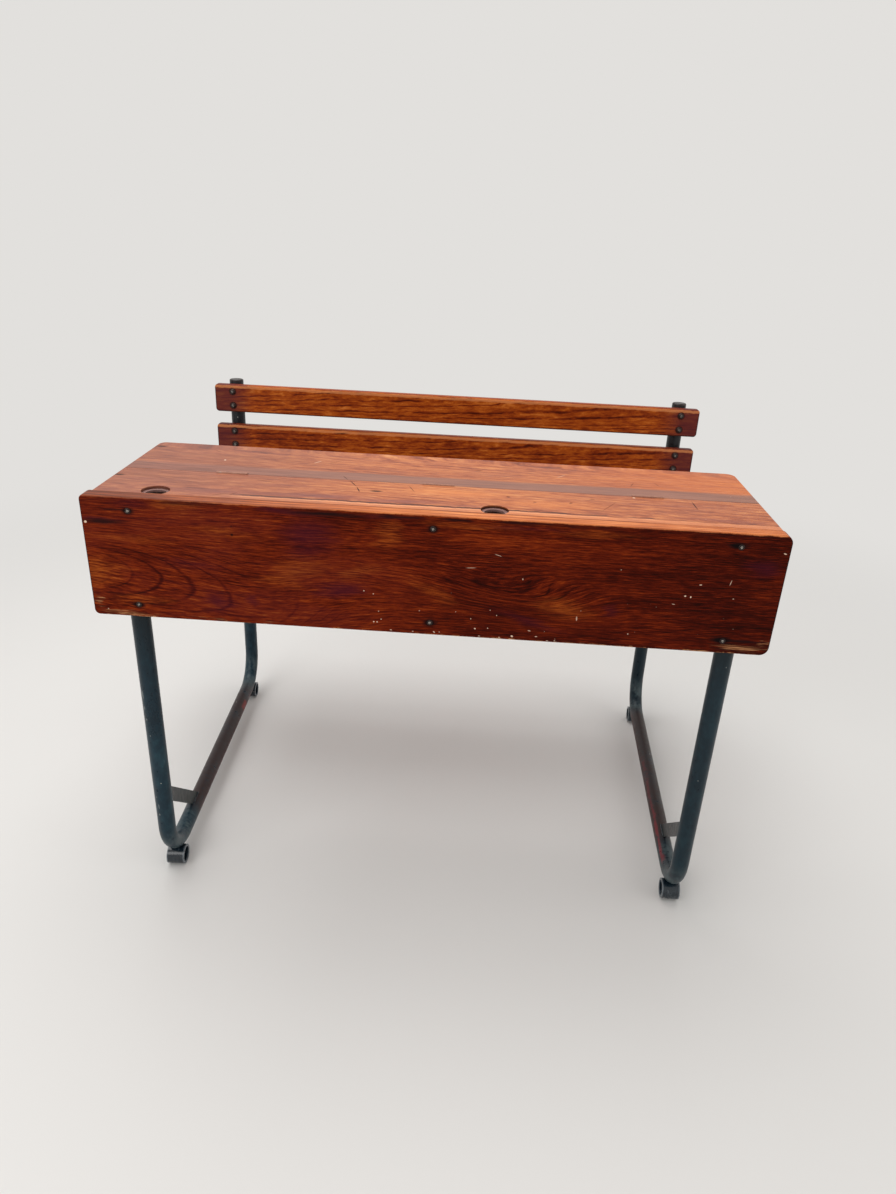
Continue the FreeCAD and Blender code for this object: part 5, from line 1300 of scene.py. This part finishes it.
class DESK_OT_welds(PieceStep, bpy.types.Operator):
    """Lay the weld beads round the feet and along the ends of braces and struts"""

    bl_idname = "desk.welds"
    bl_label = "Welds"

    def execute(self, context):
        sizes, colours = self.settings(context)
        chance = random.Random(WELD_SEED)
        material = enamel(colours.enamel, "weld_enamel", "feet")
        for word, side in (("left", -1), ("right", 1)):
            beads = []
            for end, bend in (("front", BEND), ("rear", REAR_BEND)):
                loop = saddle_loop(side, f"{word}_{end}_foot", bend)
                beads.append(bead(loop, sizes.weld, True, chance))
            for name in (f"{word}_front_brace", f"{word}_seat_strut"):
                beads += [bead(line, sizes.weld * 0.8, False, chance) for line in bar_lines(side, name)]
            fitted(f"{word}_welds", joined(beads), material)
        return {"FINISHED"}


class DESK_OT_board_screws(PieceStep, bpy.types.Operator):
    """Drive the slotted screws into the front board"""

    bl_idname = "desk.board_screws"
    bl_label = "Board Screws"

    def execute(self, context):
        sizes, colours = self.settings(context)
        chance = random.Random(SCREW_SEED)
        heads, centres = [], []
        for low, high in solids("front_board_screws"):
            centre = ((low.x + high.x) / 2, low.y, (low.z + high.z) / 2)
            heads.append(board_screw(sizes, centre, high.y - low.y, chance.uniform(-60, 60)))
            centres.append((centre[0], centre[2]))
        material = worn_steel("board_screw_steel", colours.steel, centres, sizes.screw_head / 2, 0.8, 1.25)
        piece = fitted("board_screws", joined(heads), material)
        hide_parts("front_board_screws")
        return {"FINISHED"}


class DESK_OT_backrest_bolts(PieceStep, bpy.types.Operator):
    """Fit the slotted round-headed bolts of the backrest"""

    bl_idname = "desk.backrest_bolts"
    bl_label = "Backrest Bolts"

    def execute(self, context):
        sizes, colours = self.settings(context)
        chance = random.Random(BOLT_SEED)
        bolts, centres = [], []
        for low, high in solids("backrest_bolts"):
            rise = BOLT_RISE * math.sin(math.radians(LEAN))
            centre = ((low.x + high.x) / 2, low.y + BOLT_RISE, high.z - BOLT_HEAD / 2 - rise)
            bolts.append(backrest_bolt(sizes, centre, high.y - low.y - BOLT_RISE, chance.uniform(-80, 80)))
            centres.append((centre[0], centre[2] + rise))
        material = worn_steel("backrest_bolt_steel", colours.steel, centres, sizes.bolt_head / 2, 0.7, 0.6)
        piece = fitted("slotted_backrest_bolts", joined(bolts), material)
        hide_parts("backrest_bolts")
        return {"FINISHED"}


class DESK_OT_screws(PieceStep, bpy.types.Operator):
    """Finish the plain screws, bolts and nuts"""

    bl_idname = "desk.screws"
    bl_label = "Screws, Bolts and Nuts"

    def execute(self, context):
        colours = self.settings(context)[1]
        plain = steel("screw_steel", colours.steel, 0.4, 0.5)
        dark = steel("bolt_steel", tuple(0.4 * part for part in colours.steel), 0.45, 0.7)
        coat_nodes(plain, *[name for name in nodes_ending("_screws") if name != "front_board_screws"])
        coat_nodes(dark, *nodes_ending("frame_bolts", "seat_bolts", "_nuts"))
        return {"FINISHED"}


class DESK_OT_hinges(PieceStep, bpy.types.Operator):
    """Brown the three hinges"""

    bl_idname = "desk.hinges"
    bl_label = "Hinges"

    def execute(self, context):
        colours = self.settings(context)[1]
        material = hinge_brown(colours.steel)
        coat_nodes(material, *nodes_ending("hinge_rail_leaf", "hinge_lid_leaf", "hinge_pin"))
        return {"FINISHED"}


class DESK_OT_inkwells(PieceStep, bpy.types.Operator):
    """Glaze the inkwells and lay the dried ink in them"""

    bl_idname = "desk.inkwells"
    bl_label = "Inkwells"

    def execute(self, context):
        sizes, colours = self.settings(context)
        coat_nodes(glaze(colours.glaze), "left_inkwell_cup", "right_inkwell_cup")
        ink = dried_ink()
        for word in ("left", "right"):
            low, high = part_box(f"{word}_inkwell_cup")
            centre = Vector(((low[0] + high[0]) / 2, (low[1] + high[1]) / 2, high[2] - sizes.ink_depth))
            places, faces = lathe([(INK_REACH + 0.0004, 0.0008), (INK_REACH - 0.0010, 0.0001),
                                   (INK_REACH * 0.6, -0.0002), (0.0002, 0.0)])
            fitted(f"{word}_ink", ([centre + Vector(place) for place in places], faces), ink)
        return {"FINISHED"}


class DESK_OT_stage(PieceStep, bpy.types.Operator):
    """Set the pale floor, the soft lights and the camera"""

    bl_idname = "desk.stage"
    bl_label = "Stage"

    def execute(self, context):
        scene = context.scene
        pale = tuple(self.settings(context)[1].floor)
        lay_floor(scene, pale)
        set_world(scene, pale)
        hang_lamps(scene)
        scene.camera = aim_camera(scene)
        scene.view_settings.view_transform = "Standard"
        return {"FINISHED"}


SKY_LEVEL = 0.36
LAMPS = {
    # name: place, aim, size and power of the soft boxes
    "overhead": ((-0.5, 0.2, 3.0), (0, 0.1, 0.5), 2.6, 56.0),
    "front": ((-1.9, -2.8, 2.1), (0, 0, 0.5), 1.8, 27.0),
    "side": ((2.6, -0.8, 1.6), (0, 0, 0.5), 1.6, 8.0),
}
FLOOR_RINGS = (0.001, 1.5, 3.0, 6.0, 14.0)
FADE_FROM, FADE_TO = 0.9, 2.6
LIT_SHARE = 0.5  # how far the backdrop and the far floor count for the rays that light the desk

# The camera: place, yaw, pitch and roll in radians, and lens and sensor height in millimetres
CAMERA_PLACE = (0.06621, -1.49627, 1.15031)
CAMERA_TURN = (-0.03369, 0.43558, 0.04743)
CAMERA_LENS, CAMERA_SENSOR = 25.175, 36.0


def lay_floor(scene, pale):
    """A floor that keeps the shadow near the desk and fades far out into the backdrop's colour."""
    mesh = bpy.data.meshes.new("floor")
    steps = 64
    places, faces = lathe([(ring, 0.0) for ring in FLOOR_RINGS], steps)
    faces.append(tuple(range(steps)))
    mesh.from_pydata(places, [], faces)
    skin = Finish("floor_paper", 0.9, 0.0, 0.1)
    cloud = skin.noise(skin.place, 0.8, 2.0)
    skin.finish(skin.mix(cloud, tuple(0.97 * part for part in pale), pale))
    glow = skin.nodes.new("ShaderNodeEmission")
    glow.inputs["Color"].default_value = (*pale, 1.0)
    fade = skin.nodes.new("ShaderNodeMixShader")
    far = skin.math("SQRT", skin.add(skin.math("POWER", skin.x, 2.0), skin.math("POWER", skin.y, 2.0)))
    bright = skin.times(skin.ease(far, FADE_FROM, FADE_TO), seen_or_mirrored(skin.nodes, skin.links))
    skin.links.new(bright, fade.inputs[0])
    skin.links.new(skin.shader.outputs[0], fade.inputs[1])
    skin.links.new(glow.outputs[0], fade.inputs[2])
    skin.links.new(fade.outputs[0], skin.output.inputs["Surface"])
    mesh.materials.append(skin.material)
    floor = bpy.data.objects.new("floor", mesh)
    scene.collection.objects.link(floor)


def seen_or_mirrored(nodes, links):
    """1 for a ray from the eye, from gloss or through glass, and less for one that lights the desk."""
    rays = nodes.new("ShaderNodeLightPath")
    either = None
    for kind in ("Is Camera Ray", "Is Glossy Ray", "Is Transmission Ray"):
        node = nodes.new("ShaderNodeMath")
        node.operation = "MAXIMUM"
        links.new(rays.outputs[kind], node.inputs[0])
        if either is None:
            node.inputs[1].default_value = LIT_SHARE
        else:
            links.new(either, node.inputs[1])
        either = node.outputs[0]
    return either


def set_world(scene, pale):
    """Soft white light all round, blended with a plain pale backdrop that the eye and gloss see alone."""
    world = bpy.data.worlds.new("studio")
    scene.world = world
    world.use_nodes = True
    nodes, links = world.node_tree.nodes, world.node_tree.links
    nodes.clear()
    output = nodes.new("ShaderNodeOutputWorld")
    soft, seen = nodes.new("ShaderNodeBackground"), nodes.new("ShaderNodeBackground")
    soft.inputs[0].default_value = (0.97, 0.985, 1.0, 1.0)
    soft.inputs[1].default_value = SKY_LEVEL
    seen.inputs[0].default_value = (*pale, 1.0)
    blend = nodes.new("ShaderNodeMixShader")
    links.new(seen_or_mirrored(nodes, links), blend.inputs[0])
    links.new(soft.outputs[0], blend.inputs[1])
    links.new(seen.outputs[0], blend.inputs[2])
    links.new(blend.outputs[0], output.inputs[0])


def hang_lamps(scene):
    for name, (place, aim, size, power) in LAMPS.items():
        lamp = bpy.data.lights.new(name, "AREA")
        lamp.shape = "SQUARE"
        lamp.size = size
        lamp.energy = power
        item = bpy.data.objects.new(name, lamp)
        item.location = place
        item.rotation_euler = (Vector(aim) - Vector(place)).to_track_quat("-Z", "Y").to_euler()
        scene.collection.objects.link(item)


def aim_camera(scene):
    """Camera at standing eye height before the desk, a little to its right."""
    lens = bpy.data.cameras.new("camera")
    lens.sensor_fit = "VERTICAL"
    lens.sensor_height = CAMERA_SENSOR
    lens.lens = CAMERA_LENS
    lens.dof.use_dof = False
    camera = bpy.data.objects.new("camera", lens)
    yaw, pitch, roll = CAMERA_TURN
    ahead = Vector((math.sin(yaw) * math.cos(pitch), math.cos(yaw) * math.cos(pitch), -math.sin(pitch)))
    level = Vector((math.cos(yaw), -math.sin(yaw), 0.0))
    upright = level.cross(ahead)
    right = level * math.cos(roll) + upright * math.sin(roll)
    up = upright * math.cos(roll) - level * math.sin(roll)
    camera.matrix_world = Matrix.LocRotScale(
        Vector(CAMERA_PLACE), Matrix((right, up, -ahead)).transposed(), None)
    scene.collection.objects.link(camera)
    return camera


class DESK_PT_pieces(bpy.types.Panel):
    """Sidebar list of the desk's pieces and its settings"""

    bl_label = "School Desk"
    bl_idname = "DESK_PT_pieces"
    bl_space_type = "VIEW_3D"
    bl_region_type = "UI"
    bl_category = "School Desk"

    def draw(self, context):
        for settings in (context.scene.desk_sizes, context.scene.desk_colours):
            for entry in settings.bl_rna.properties:
                if entry.identifier not in {"rna_type", "name"}:
                    self.layout.prop(settings, entry.identifier)
        for step in STEPS:
            self.layout.operator(step.bl_idname)


STEPS = (
    DESK_OT_front_board, DESK_OT_top, DESK_OT_book_box, DESK_OT_slats, DESK_OT_side_frames, DESK_OT_feet,
    DESK_OT_stays, DESK_OT_caps, DESK_OT_welds, DESK_OT_board_screws, DESK_OT_backrest_bolts, DESK_OT_screws,
    DESK_OT_hinges, DESK_OT_inkwells, DESK_OT_stage,
)
CLASSES = (DeskSizes, DeskColours, *STEPS, DESK_PT_pieces)


def register():
    for item in CLASSES:
        bpy.utils.register_class(item)
    bpy.types.Scene.desk_sizes = bpy.props.PointerProperty(type=DeskSizes)
    bpy.types.Scene.desk_colours = bpy.props.PointerProperty(type=DeskColours)


def unregister():
    del bpy.types.Scene.desk_colours
    del bpy.types.Scene.desk_sizes
    for item in reversed(CLASSES):
        bpy.utils.unregister_class(item)


def main():
    register()
    bpy.ops.desk.front_board()
    bpy.ops.desk.top()
    bpy.ops.desk.book_box()
    bpy.ops.desk.slats()
    bpy.ops.desk.side_frames()
    bpy.ops.desk.feet()
    bpy.ops.desk.stays()
    bpy.ops.desk.caps()
    bpy.ops.desk.welds()
    bpy.ops.desk.board_screws()
    bpy.ops.desk.backrest_bolts()
    bpy.ops.desk.screws()
    bpy.ops.desk.hinges()
    bpy.ops.desk.inkwells()
    bpy.ops.desk.stage()


if __name__ == "__main__":
    main()
